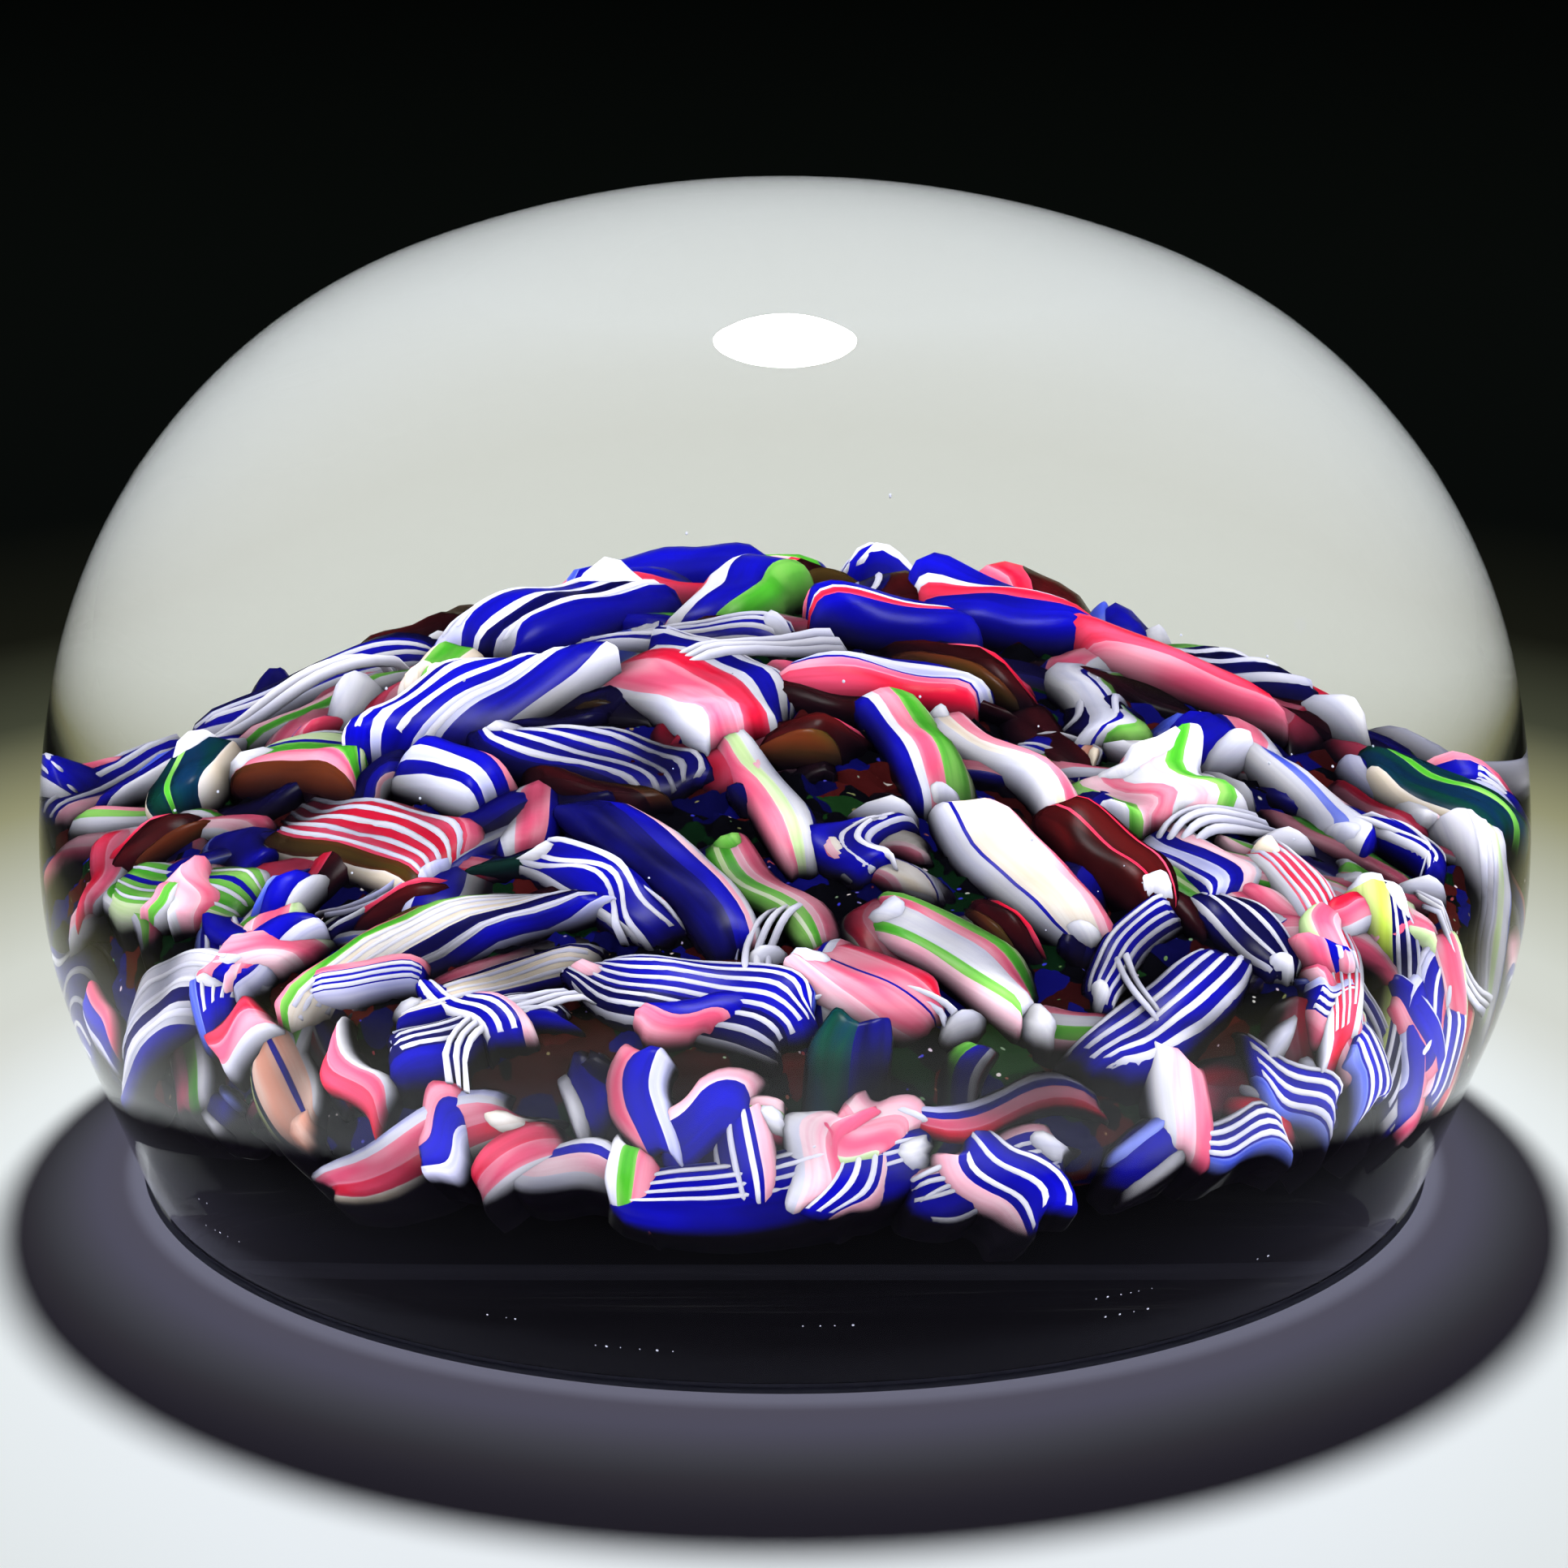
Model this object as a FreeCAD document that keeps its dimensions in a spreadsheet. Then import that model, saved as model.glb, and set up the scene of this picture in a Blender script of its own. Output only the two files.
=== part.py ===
import FreeCAD, Part
import Sketcher
import math
import os

# A paperweight of clear glass over a scramble of coloured cane ends.
# Millimetres, +Z up. The origin is the middle of the foot, on the table.

Vector = FreeCAD.Vector
doc = FreeCAD.newDocument("Paperweight")
sheet = doc.addObject("Spreadsheet::Sheet", "Sizes")

sizes = {
    # the outside of the weight
    "body_radius": 38.0,
    "overall_height": 50.0,
    "belt_height": 16.5,
    "side_radius": 44.0,
    "shoulder_height": 25.9,
    "crown_angle": 21.0,
    "flank_radius": 22.0,
    "flank_angle": 21.0,
    # the foot
    "lip_width": 1.0,
    "foot_ring_width": 3.6,
    "hollow_depth": 0.2,
    "lip_lift": 0.3,
    "lip_bevel": 0.8,
    # the clear gather that carries the canes
    "ground_height": 17.4,
    "ground_crown_radius": 49.0,
    "casing_wall": 15.5,
    "ground_side_slope": 64.0,
    "pad_height": 6.0,
    # fits between the layers
    "cane_depth": 4.4,
    "seam_gap": 0.05,
    "seat_gap": 0.1,
    "cane_gap": 0.12,
    # the canes
    "ribbon_thickness": 2.8,
    "thread_thickness": 2.5,
    "thread_pitch": 0.9,
    "thread_relief": 0.25,
    "rod_thickness": 2.6,
    "petal_thickness": 2.5,
    "bow_thickness": 2.6,
    "shard_thickness": 2.6,
    "rim_thickness": 2.4,
    "cane_chamfer": 0.4,
    "bow_sag": 0.8,
}

for row, (name, value) in enumerate(sizes.items(), start=1):
    sheet.set(f"A{row}", name)
    sheet.set(f"B{row}", str(value))
    sheet.setAlias(f"B{row}", name)
doc.recompute()


def size(name):
    return float(sheet.get(name))


def planeOf(body, role):
    return next(item for item in body.Origin.OriginFeatures if item.Role == role)


def sketchOn(body, role, name):
    sketch = body.newObject("Sketcher::SketchObject", name)
    sketch.AttachmentSupport = [(planeOf(body, role), "")]
    sketch.MapMode = "FlatFace"
    return sketch


def addOutline(sketch, points):
    """A closed outline of straight edges through the points."""
    corners = [Vector(across, up, 0) for across, up in points]
    for start, end in zip(corners, corners[1:] + corners[:1]):
        sketch.addGeometry(Part.LineSegment(start, end))


def addArc(sketch, centre, radius, start, end):
    """An arc about the centre, anticlockwise between two angles in radians."""
    circle = Part.Circle(Vector(centre[0], centre[1], 0), Vector(0, 0, 1), radius)
    return sketch.addGeometry(Part.ArcOfCircle(circle, start, end))


def turned(name, sketchMaker):
    """A body turned about the Z axis from a sketch in the XZ plane."""
    body = doc.addObject("PartDesign::Body", name)
    sketch = sketchOn(body, "XZ_Plane", name + "Outline")
    sketchMaker(sketch)
    turn = body.newObject("PartDesign::Revolution", name + "Turn")
    turn.Profile = sketch
    turn.ReferenceAxis = (sketch, ["V_Axis"])
    turn.Angle = 360
    return body


def ball(name, radius, top):
    """A ball whose poles lie along X, so that none falls on the crown that it shapes."""
    sphere = doc.addObject("Part::Sphere", name)
    sphere.setExpression("Radius", radius)
    sphere.Placement = FreeCAD.Placement(Vector(0, 0, 0), FreeCAD.Rotation(Vector(0, 1, 0), 90))
    sphere.setExpression("Placement.Base.z", f"{top} - ({radius})")
    return sphere


def joined(kind, name, first, second):
    result = doc.addObject(f"Part::{kind}", name)
    result.Base = first
    result.Tool = second
    return result


# ---- the outline of the clear glass

flankCentre = (size("body_radius") - size("flank_radius"), size("belt_height"))
sideCentre = (size("body_radius") - size("side_radius"), size("belt_height"))
sideLean = (size("shoulder_height") - size("belt_height")) / size("side_radius")
sideEnd = math.asin(sideLean)
sideTop = (sideCentre[0] + size("side_radius") * math.cos(sideEnd), size("shoulder_height"))

# the crown is centred on the axis, and the shoulder runs smoothly out of the side and into it
crownAngle = math.radians(size("crown_angle"))
crownEnd = math.pi / 2 - crownAngle
crownLean = math.tan(crownAngle / 2)
shoulderRise = size("overall_height") - sideTop[1] - sideTop[0] * crownLean
shoulderRadius = shoulderRise / (1 - sideLean - math.cos(sideEnd) * crownLean)
shoulderCentre = (
    sideTop[0] - shoulderRadius * math.cos(sideEnd),
    sideTop[1] - shoulderRadius * sideLean,
)
crownRadius = shoulderCentre[0] / math.sin(crownAngle) + shoulderRadius
crownCentre = (0.0, size("overall_height") - crownRadius)
crownEdge = (crownRadius * math.sin(crownAngle), crownCentre[1] + crownRadius * math.cos(crownAngle))
flankAngle = math.radians(size("flank_angle"))
flankTop = (
    flankCentre[0] + size("flank_radius") * math.cos(flankAngle),
    flankCentre[1] - size("flank_radius") * math.sin(flankAngle),
)


def flankRadiusAt(height):
    return flankTop[0] - (flankTop[1] - height) * math.tan(flankAngle)


footRadius = flankRadiusAt(0) - size("lip_width")


def drawOutside(sketch):
    """Lip, bevel, flank, belt and shoulder, up to the edge of the crown."""
    lift, bevel = size("lip_lift"), size("lip_bevel")
    bevelTop = (flankRadiusAt(lift + bevel), lift + bevel)
    corners = [(0, lift), (bevelTop[0] - bevel, lift), bevelTop, flankTop]
    for start, end in zip(corners, corners[1:]):
        sketch.addGeometry(Part.LineSegment(Vector(*start, 0), Vector(*end, 0)))
    flank = addArc(sketch, flankCentre, size("flank_radius"), -flankAngle, 0)
    side = addArc(sketch, sideCentre, size("side_radius"), 0, sideEnd)
    arch = addArc(sketch, shoulderCentre, shoulderRadius, sideEnd, crownEnd)
    top = sketch.addGeometry(Part.LineSegment(Vector(*crownEdge, 0), Vector(0, crownEdge[1], 0)))
    axis = sketch.addGeometry(Part.LineSegment(Vector(0, crownEdge[1], 0), Vector(0, lift, 0)))
    crown = addArc(sketch, crownCentre, crownRadius, crownEnd, math.pi / 2)
    spoke = sketch.addGeometry(Part.LineSegment(Vector(*crownCentre, 0), Vector(*crownEdge, 0)))
    for guide in (crown, spoke):
        sketch.toggleConstruction(guide)
    base, slant, wall = 0, 1, 2
    start, end, middle = 1, 2, 3
    for first, second in ((base, slant), (slant, wall), (arch, top), (top, axis), (axis, base)):
        sketch.addConstraint(Sketcher.Constraint("Coincident", first, end, second, start))
    for first, second in ((wall, flank), (flank, side), (side, arch), (arch, crown)):
        sketch.addConstraint(Sketcher.Constraint("Tangent", first, end, second, start))
    for line in (base, top):
        sketch.addConstraint(Sketcher.Constraint("Horizontal", line))
    sketch.addConstraint(Sketcher.Constraint("PointOnObject", base, start, -2))
    sketch.addConstraint(Sketcher.Constraint("PointOnObject", top, end, -2))
    sketch.addConstraint(Sketcher.Constraint("PointOnObject", crown, middle, -2))
    sketch.addConstraint(Sketcher.Constraint("PointOnObject", crown, end, -2))
    sketch.addConstraint(Sketcher.Constraint("Horizontal", flank, middle, side, middle))
    sketch.addConstraint(Sketcher.Constraint("Coincident", spoke, start, crown, middle))
    sketch.addConstraint(Sketcher.Constraint("Coincident", spoke, end, crown, start))
    bound = [
        (("Radius", flank), "flank_radius"),
        (("Radius", side), "side_radius"),
        (("DistanceX", -1, 1, flank, end), "body_radius"),
        (("DistanceY", -1, 1, flank, middle), "belt_height"),
        (("DistanceY", -1, 1, side, end), "shoulder_height"),
        (("DistanceY", -1, 1, crown, end), "overall_height"),
        (("DistanceY", -1, 1, base, end), "lip_lift"),
        (("DistanceY", slant, start, slant, end), "lip_bevel"),
        (("DistanceX", slant, start, slant, end), "lip_bevel"),
    ]
    for words, name in bound:
        index = sketch.addConstraint(Sketcher.Constraint(*words, size(name)))
        sketch.setExpression(f"Constraints[{index}]", f"Sizes.{name}")
    for line, angle, name in ((wall, flankAngle, "flank_angle"), (spoke, crownAngle, "crown_angle")):
        tilt = sketch.addConstraint(Sketcher.Constraint("Angle", line, math.pi / 2 - angle))
        sketch.setExpression(f"Constraints[{tilt}]", f"90deg - Sizes.{name} * 1deg")


# ---- the seat of the canes: a crown, then a steep side, on the ground gather

groundReach = size("body_radius") - size("casing_wall")
shoulderAngle = math.asin(groundReach / size("ground_crown_radius"))
sideSlope = math.radians(size("ground_side_slope"))
crownMiddle = size("ground_height") - size("ground_crown_radius")
crownReach = size("ground_crown_radius") * shoulderAngle
groundEdge = (groundReach, size("ground_crown_radius") * math.cos(shoulderAngle) + crownMiddle)


sideLength = (groundEdge[1] - size("pad_height")) / math.sin(sideSlope)


def sideRadiusAt(height, offset):
    """The steep side's radius at a height, moved outward from the ground by the offset."""
    edge = (groundEdge[0] + offset * math.sin(sideSlope), groundEdge[1] + offset * math.cos(sideSlope))
    return edge[0] + (edge[1] - height) / math.tan(sideSlope)


def drawGround(sketch):
    """Foot, pad, ledge and steep side, up past the crown that a ball then rounds."""
    pad, top = size("pad_height"), size("ground_height") + 1
    padEdge = sideRadiusAt(pad, size("cane_depth")) - size("seam_gap")
    addOutline(sketch, [
        (0, 0),
        (footRadius - size("seam_gap"), 0),
        (padEdge, pad),
        (sideRadiusAt(pad, 0), pad),
        (sideRadiusAt(top, 0), top),
        (0, top),
    ])


def drawHollow(sketch):
    """The room inside the casing: the canes' layer, then the pad below it."""
    pad, depth = size("pad_height"), size("cane_depth")
    top = size("ground_height") + depth + 1
    addOutline(sketch, [
        (0, 0),
        (footRadius, 0),
        (sideRadiusAt(pad, depth), pad),
        (sideRadiusAt(top, depth), top),
        (0, top),
    ])


# ---- crystal_dome: the clear casing

turnedOutside = turned("CasingOutside", drawOutside)
crownBall = ball("CrownBall", f"{crownRadius:.6f}", "Sizes.overall_height")
aboveShoulder = doc.addObject("Part::Box", "AboveShoulder")
aboveShoulder.setExpression("Length", "2 * Sizes.body_radius")
aboveShoulder.setExpression("Width", "2 * Sizes.body_radius")
aboveShoulder.setExpression("Height", "Sizes.overall_height")
aboveShoulder.Placement.Base = Vector(-size("body_radius"), -size("body_radius"), crownEdge[1])
crownCap = joined("Common", "CrownCap", crownBall, aboveShoulder)
casingWhole = joined("Fuse", "CasingWhole", turnedOutside, crownCap)
turnedRoom = turned("SetUpRoom", drawHollow)
roomBall = ball(
    "RoomBall", "Sizes.ground_crown_radius + Sizes.cane_depth", "Sizes.ground_height + Sizes.cane_depth"
)
room = joined("Common", "SetUpHollow", turnedRoom, roomBall)
crystalDome = joined("Cut", "CrystalDome", casingWhole, room)

# ---- ground_gather: the clear pad, its crown under the canes and its polished foot

turnedGround = turned("GroundTurned", drawGround)
groundBall = ball("GroundBall", "Sizes.ground_crown_radius", "Sizes.ground_height")
groundSolid = joined("Common", "GroundCrowned", turnedGround, groundBall)
hollowWords = f"(({footRadius:.4f} - Sizes.foot_ring_width) ^ 2 + Sizes.hollow_depth ^ 2)"
footHollow = ball("FootHollow", f"{hollowWords} / (2 * Sizes.hollow_depth)", "Sizes.hollow_depth")
groundGather = joined("Cut", "GroundGather", groundSolid, footHollow)

subParts = {"crystal_dome": crystalDome, "ground_gather": groundGather}


# ---- the canes: each end has a node, a kind, a reach from the crown's middle along the
# glass, a compass angle, a heading (0 runs along the ring) and a length and width

planReach = 23.3
planSide = 6.7
lowestReach = 26.8
plan = [
    ("white_slab", "ribbon", 14.5, 118, 175, 5.0, 4.8),
    ("blue_line_slab", "ribbon", 10.5, 156, 30, 5.5, 4.0),
    ("green_block", "ribbon", 13.5, 140, 165, 3.5, 1.8),
    ("six_thread_cane", "thread", 6.5, 195, 160, 7.5, 3.6),
    ("pink_curl", "bow", 4.0, 130, 105, 8.0, 4.4),
    ("fan_ribbon", "bow", 6.0, 260, 65, 9.0, 1.8),
    ("dark_petal", "petal", 12.0, 250, 45, 10.5, 2.4),
    ("green_leaf", "petal", 13.0, 268, 65, 7.0, 2.0),
    ("pink_petal", "petal", 19.5, 280, 45, 5.5, 3.6),
    ("tangled_threads", "thread", 13.5, 240, 30, 7.0, 2.0),
    ("long_thread_cane", "thread", 19.0, 228, 115, 10.0, 3.6),
    ("low_thread_cane", "thread", 20.5, 238, 140, 7.0, 2.2),
    ("cobalt_fan_cane", "thread", 20.0, 260, 25, 8.0, 4.0),
    ("pink_leaf", "petal", 10.5, 214, 45, 4.5, 2.0),
    ("white_blue_slab", "ribbon", 11.0, 188, 160, 4.5, 2.0),
    ("red_thread_cane", "thread", 14.5, 196, 175, 9.5, 4.2),
    ("long_striped_ribbon", "ribbon", 4.5, 45, 140, 5.5, 2.6),
    ("green_bow", "bow", 11.5, 28, 30, 8.0, 2.2),
    ("green_pink_bow", "bow", 5.0, 330, 135, 7.0, 2.4),
    ("cream_bow", "bow", 8.0, 340, 135, 8.0, 1.6),
    ("cream_slab", "ribbon", 13.5, 308, 95, 8.0, 2.8),
    ("ruby_slab", "ribbon", 14.0, 324, 100, 5.5, 2.6),
    ("white_petal", "petal", 17.5, 292, 65, 7.0, 3.0),
    ("wavy_bow", "bow", 12.5, 348, 40, 5.0, 3.8),
    ("red_band", "ribbon", 16.0, 44, 140, 5.0, 2.2),
    ("blue_thread_cane", "thread", 15.5, 336, 120, 4.5, 3.0),
    ("fan_thread_cane", "thread", 19.5, 312, 145, 6.5, 1.6),
    ("hooked_thread_cane", "thread", 20.0, 328, 100, 5.0, 2.6),
    ("far_blue_ribbons", "ribbon", 15.0, 64, 160, 4.5, 4.0),
    ("far_blue_ribbons", "ribbon", 10.5, 72, 160, 4.0, 2.4),
    ("green_thread_cane", "thread", 21.0, 188, 160, 6.5, 4.0),
    ("white_arch", "bow", 24.5, 200, 145, 6.5, 3.2),
    ("looped_petal", "petal", 15.5, 164, 135, 5.5, 3.0),
    ("peach_slab", "ribbon", 25.5, 220, 40, 4.0, 2.8),
    ("pink_red_slab", "ribbon", 26.8, 236, 155, 8.0, 2.2),
    ("white_thread_cane", "thread", 23.5, 240, 150, 6.0, 2.0),
    ("white_pink_slab", "ribbon", 26.8, 250, 10, 4.5, 1.8),
    ("pink_green_slab", "ribbon", 24.5, 264, 175, 5.0, 1.6),
    ("cobalt_arc_cane", "thread", 26.8, 268, 170, 10.5, 2.6),
    ("red_bow", "bow", 24.5, 290, 5, 7.5, 1.4),
    ("cobalt_thread_cane", "thread", 23.0, 310, 155, 8.0, 2.8),
    ("rim_thread_cane", "thread", 26.8, 288, 170, 5.5, 2.2),
    ("ruby_rim_shard", "shard", 26.8, 316, 30, 5.0, 2.0),
    ("red_stripe_cane", "thread", 21.0, 336, 125, 10.0, 2.0),
    ("grey_stripe_cane", "thread", 24.0, 340, 130, 8.0, 2.8),
    ("lime_slab", "ribbon", 26.5, 344, 130, 4.5, 1.4),
    ("red_sliver", "ribbon", 26.8, 348, 135, 4.5, 1.6),
    ("teal_ribbons", "ribbon", 22.0, 22, 135, 5.0, 3.4),
    ("teal_ribbons", "ribbon", 19.5, 158, 0, 4.5, 2.0),
    ("grey_ribbon", "ribbon", 23.5, 4, 145, 8.0, 2.2),
    ("white_blue_bow", "bow", 17.0, 10, 165, 6.5, 2.2),
    ("white_rods", "rod", 17.5, 268, 125, 2.5, 1.6),
    ("white_rods", "rod", 8.0, 295, 30, 2.5, 1.6),
    ("white_rods", "rod", 12.5, 294, 10, 2.5, 1.6),
    ("white_rods", "rod", 14.5, 4, 140, 3.0, 1.6),
    ("white_rods", "rod", 22.5, 296, 100, 2.5, 1.6),
    ("white_rods", "rod", 22.0, 288, 155, 2.5, 1.6),
    ("white_rods", "rod", 17.0, 352, 40, 2.5, 1.6),
    ("white_rods", "rod", 20.0, 352, 0, 2.5, 1.6),
    ("white_rods", "rod", 22.0, 356, 45, 2.5, 1.6),
    ("white_rods", "rod", 24.0, 320, 155, 4.0, 1.2),
    ("white_rods", "rod", 25.5, 324, 100, 2.0, 1.6),
    ("white_rods", "rod", 16.5, 144, 155, 5.5, 1.8),
    ("white_rods", "rod", 21.0, 42, 5, 3.0, 1.6),
    ("white_rods", "rod", 26.8, 42, 160, 2.5, 1.6),
    ("white_rods", "rod", 26.0, 188, 25, 2.5, 1.6),
    ("ruby_shards", "shard", 8.0, 46, 175, 6.5, 1.8),
    ("ruby_shards", "shard", 2.0, 295, 10, 3.0, 2.4),
    ("ruby_shards", "shard", 16.0, 300, 85, 4.5, 1.6),
    ("ruby_shards", "shard", 17.0, 218, 115, 4.5, 2.2),
    ("ruby_shards", "shard", 20.5, 172, 60, 4.5, 2.4),
    ("ruby_shards", "shard", 18.0, 88, 135, 3.5, 2.0),
    ("ruby_shards", "shard", 23.5, 132, 15, 3.0, 2.4),
    ("ruby_shards", "shard", 26.8, 134, 175, 3.5, 2.8),
    ("cobalt_shards", "shard", 13.5, 20, 15, 3.5, 2.8),
    ("cobalt_shards", "shard", 19.0, 202, 60, 3.5, 2.0),
    ("cobalt_shards", "shard", 21.0, 148, 40, 5.5, 1.6),
    ("cobalt_shards", "shard", 24.0, 252, 55, 3.5, 2.2),
    ("cobalt_shards", "shard", 26.8, 304, 155, 5.0, 2.2),
    ("cobalt_shards", "shard", 21.5, 64, 65, 4.0, 2.2),
    ("cobalt_shards", "shard", 25.0, 64, 160, 3.0, 2.4),
    ("cobalt_shards", "shard", 26.8, 212, 10, 2.5, 1.8),
    ("curled_threads", "thread", 10.0, 288, 115, 3.0, 2.4),
    ("curled_threads", "thread", 9.0, 356, 125, 2.5, 2.2),
    ("curled_threads", "ribbon", 20.5, 4, 130, 3.5, 1.6),
    ("back_white_ribbons", "ribbon", 13.5, 96, 120, 6.0, 2.4),
    ("back_white_ribbons", "ribbon", 23.5, 44, 10, 6.5, 2.6),
    ("back_white_ribbons", "ribbon", 23.5, 144, 140, 5.0, 2.4),
    ("back_white_ribbons", "ribbon", 26.5, 96, 160, 7.5, 1.6),
    ("back_pink_ribbons", "ribbon", 20.0, 100, 20, 5.0, 2.2),
    ("back_pink_ribbons", "ribbon", 23.0, 72, 75, 5.0, 2.8),
    ("back_pink_ribbons", "ribbon", 22.5, 96, 25, 6.5, 1.8),
    ("back_pink_ribbons", "ribbon", 26.8, 52, 160, 5.5, 2.6),
    ("back_pink_ribbons", "ribbon", 26.8, 72, 10, 4.5, 2.4),
    ("back_pink_ribbons", "ribbon", 26.8, 148, 5, 5.0, 2.4),
    ("back_thread_canes", "thread", 9.5, 108, 35, 6.0, 1.8),
    ("back_thread_canes", "thread", 16.5, 80, 100, 7.5, 2.2),
    ("back_thread_canes", "thread", 19.5, 132, 60, 5.5, 2.4),
    ("back_thread_canes", "thread", 22.5, 82, 110, 5.0, 2.4),
    ("back_thread_canes", "thread", 23.0, 116, 160, 6.5, 2.8),
    ("back_thread_canes", "thread", 26.5, 30, 15, 6.5, 3.4),
    ("back_thread_canes", "thread", 25.5, 88, 165, 7.0, 2.0),
    ("back_thread_canes", "thread", 26.8, 124, 155, 5.0, 2.8),
    ("back_thread_canes", "thread", 26.5, 178, 175, 6.5, 3.6),
    ("back_petals", "petal", 19.5, 52, 80, 6.0, 2.8),
    ("back_petals", "petal", 19.5, 116, 150, 6.0, 2.0),
    ("back_petals", "petal", 26.8, 108, 155, 7.0, 1.8),
    ("back_bows", "bow", 17.5, 104, 40, 5.0, 2.2),
    ("back_bows", "bow", 26.5, 12, 20, 6.5, 2.8),
    ("back_bows", "bow", 26.8, 162, 10, 6.0, 2.4),
]

kindThickness = {
    "ribbon": "ribbon_thickness",
    "thread": "thread_thickness",
    "rod": "rod_thickness",
    "petal": "petal_thickness",
    "bow": "bow_thickness",
    "shard": "shard_thickness",
}


class Chip:
    """One cane end, lying flat on the ground gather."""

    def __init__(self, node, kind, reach, compass, heading, length, width):
        spread = crownReach / planReach
        self.reach = reach * spread
        if reach > planReach:
            spread = sideLength / planSide
            self.reach = crownReach + (reach - planReach) * spread
        self.node = node
        self.kind = kind
        self.compass = math.radians(compass)
        self.heading = math.radians(heading)
        self.length = length * spread
        self.width = width * spread
        self.sit()

    def sit(self):
        """Finds the middle of the seat, and the directions of the chip on it."""
        out = Vector(math.cos(self.compass), math.sin(self.compass), 0)
        along = Vector(-out.y, out.x, 0)
        angle = min(self.reach, crownReach) / size("ground_crown_radius")
        self.seat = out * math.sin(angle) + Vector(0, 0, math.cos(angle))
        self.seat = self.seat * size("ground_crown_radius") + Vector(0, 0, crownMiddle)
        self.onRim = self.reach > crownReach
        if self.onRim:
            angle = sideSlope
        self.normal = out * math.sin(angle) + Vector(0, 0, math.cos(angle))
        self.down = out * math.cos(angle) - Vector(0, 0, math.sin(angle))
        if self.onRim:
            self.seat = self.seat + self.down * (self.reach - crownReach)
        self.along = along * math.cos(self.heading) + self.down * math.sin(self.heading)
        self.across = self.normal.cross(self.along)

    def thickness(self):
        return "rim_thickness" if self.onRim else kindThickness[self.kind]

    def slide(self, push):
        """Moves the chip over the glass by a small push."""
        radius = max(math.hypot(self.seat.x, self.seat.y), self.width / 2)
        tangent = Vector(-math.sin(self.compass), math.cos(self.compass), 0)
        lowest = crownReach + (lowestReach - planReach) * sideLength / planSide
        self.reach = min(max(self.reach + push.dot(self.down), 0.0), lowest)
        self.compass += push.dot(tangent) / radius
        self.sit()

    def trimAlong(self, axis):
        if abs(axis.dot(self.along)) > abs(axis.dot(self.across)):
            self.length *= trim
        else:
            self.width *= trim


def clash(first, second):
    """How far two chips overlap, and the way that parts them, or None."""
    apart = second.seat - first.seat
    reach = math.hypot(first.length, first.width) + math.hypot(second.length, second.width)
    if apart.Length > reach / 2:
        return None
    normal = (first.normal + second.normal).normalize()
    best = None
    for axis in (first.along, first.across, second.along, second.across):
        axis = axis - normal * axis.dot(normal)
        axis.normalize()
        half = 0.0
        for chip in (first, second):
            half += abs(axis.dot(chip.along)) * chip.length / 2
            half += abs(axis.dot(chip.across)) * chip.width / 2
        deep = half + size("cane_gap") - abs(axis.dot(apart))
        if deep <= 0:
            return None
        if best is None or deep < best[0]:
            best = (deep, axis * math.copysign(1.0, axis.dot(apart)))
    return best


pushShare = 0.7
patientRounds = 30
mostRounds = 90
trim = 0.99


def settle(chips):
    """Slides crowded chips apart, and trims what stays too long for its place."""
    for turn in range(mostRounds):
        still = True
        for index, first in enumerate(chips):
            for second in chips[index + 1:]:
                found = clash(first, second)
                if not found:
                    continue
                still = False
                deep, axis = found
                share = second.length * second.width
                share = share / (share + first.length * first.width)
                first.slide(axis * (-deep * share * pushShare))
                second.slide(axis * (deep * (1 - share) * pushShare))
                if turn > patientRounds:
                    for chip in (first, second):
                        chip.trimAlong(axis)
        if still:
            return turn
    return mostRounds


def sectionPad(body, name, sketch, length):
    pad = body.newObject("PartDesign::Pad", name + "Pad")
    pad.Profile = sketch
    pad.SideType = "Symmetric"
    pad.Length = length
    return pad


def platePad(body, name, sketch, thickness):
    pad = body.newObject("PartDesign::Pad", name + "Pad")
    pad.Profile = sketch
    pad.setExpression("Length", f"Sizes.{thickness}")
    return pad


def ribbonChip(body, name, chip):
    """A flat cane with its long edges softened, cut to length."""
    sketch = sketchOn(body, "YZ_Plane", name + "Section")
    half, high, soft = chip.width / 2, size(chip.thickness()), size("cane_chamfer")
    soft = min(soft, chip.width / 4)
    addOutline(sketch, [
        (-half + soft, 0), (half - soft, 0), (half, soft), (half, high - soft),
        (half - soft, high), (-half + soft, high), (-half, high - soft), (-half, soft),
    ])
    sectionPad(body, name, sketch, chip.length)


def rodChip(body, name, chip):
    """A thick rod, pressed a little flat: an eight-sided section."""
    sketch = sketchOn(body, "YZ_Plane", name + "Section")
    halfHigh = size(chip.thickness()) / 2
    step = math.pi / 4
    stretch = 1 / math.cos(step / 2)
    corners = []
    for side in range(8):
        angle = step * (side + 0.5)
        across = chip.width / 2 * stretch * math.cos(angle)
        corners.append((across, halfHigh + halfHigh * stretch * math.sin(angle)))
    addOutline(sketch, corners)
    sectionPad(body, name, sketch, chip.length)


def threadChip(body, name, chip):
    """A filigree cane: white threads stand up as ribs along its top."""
    sketch = sketchOn(body, "YZ_Plane", name + "Section")
    half, high, relief = chip.width / 2, size(chip.thickness()), size("thread_relief")
    ribs = max(2, round(chip.width / size("thread_pitch")))
    pitch = chip.width / ribs
    corners = [(-half, 0), (half, 0), (half, high - relief)]
    for rib in range(ribs):
        right = half - pitch * rib
        corners.append((right - pitch / 2, high))
        corners.append((right - pitch, high - relief))
    addOutline(sketch, corners)
    sectionPad(body, name, sketch, chip.length)


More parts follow.
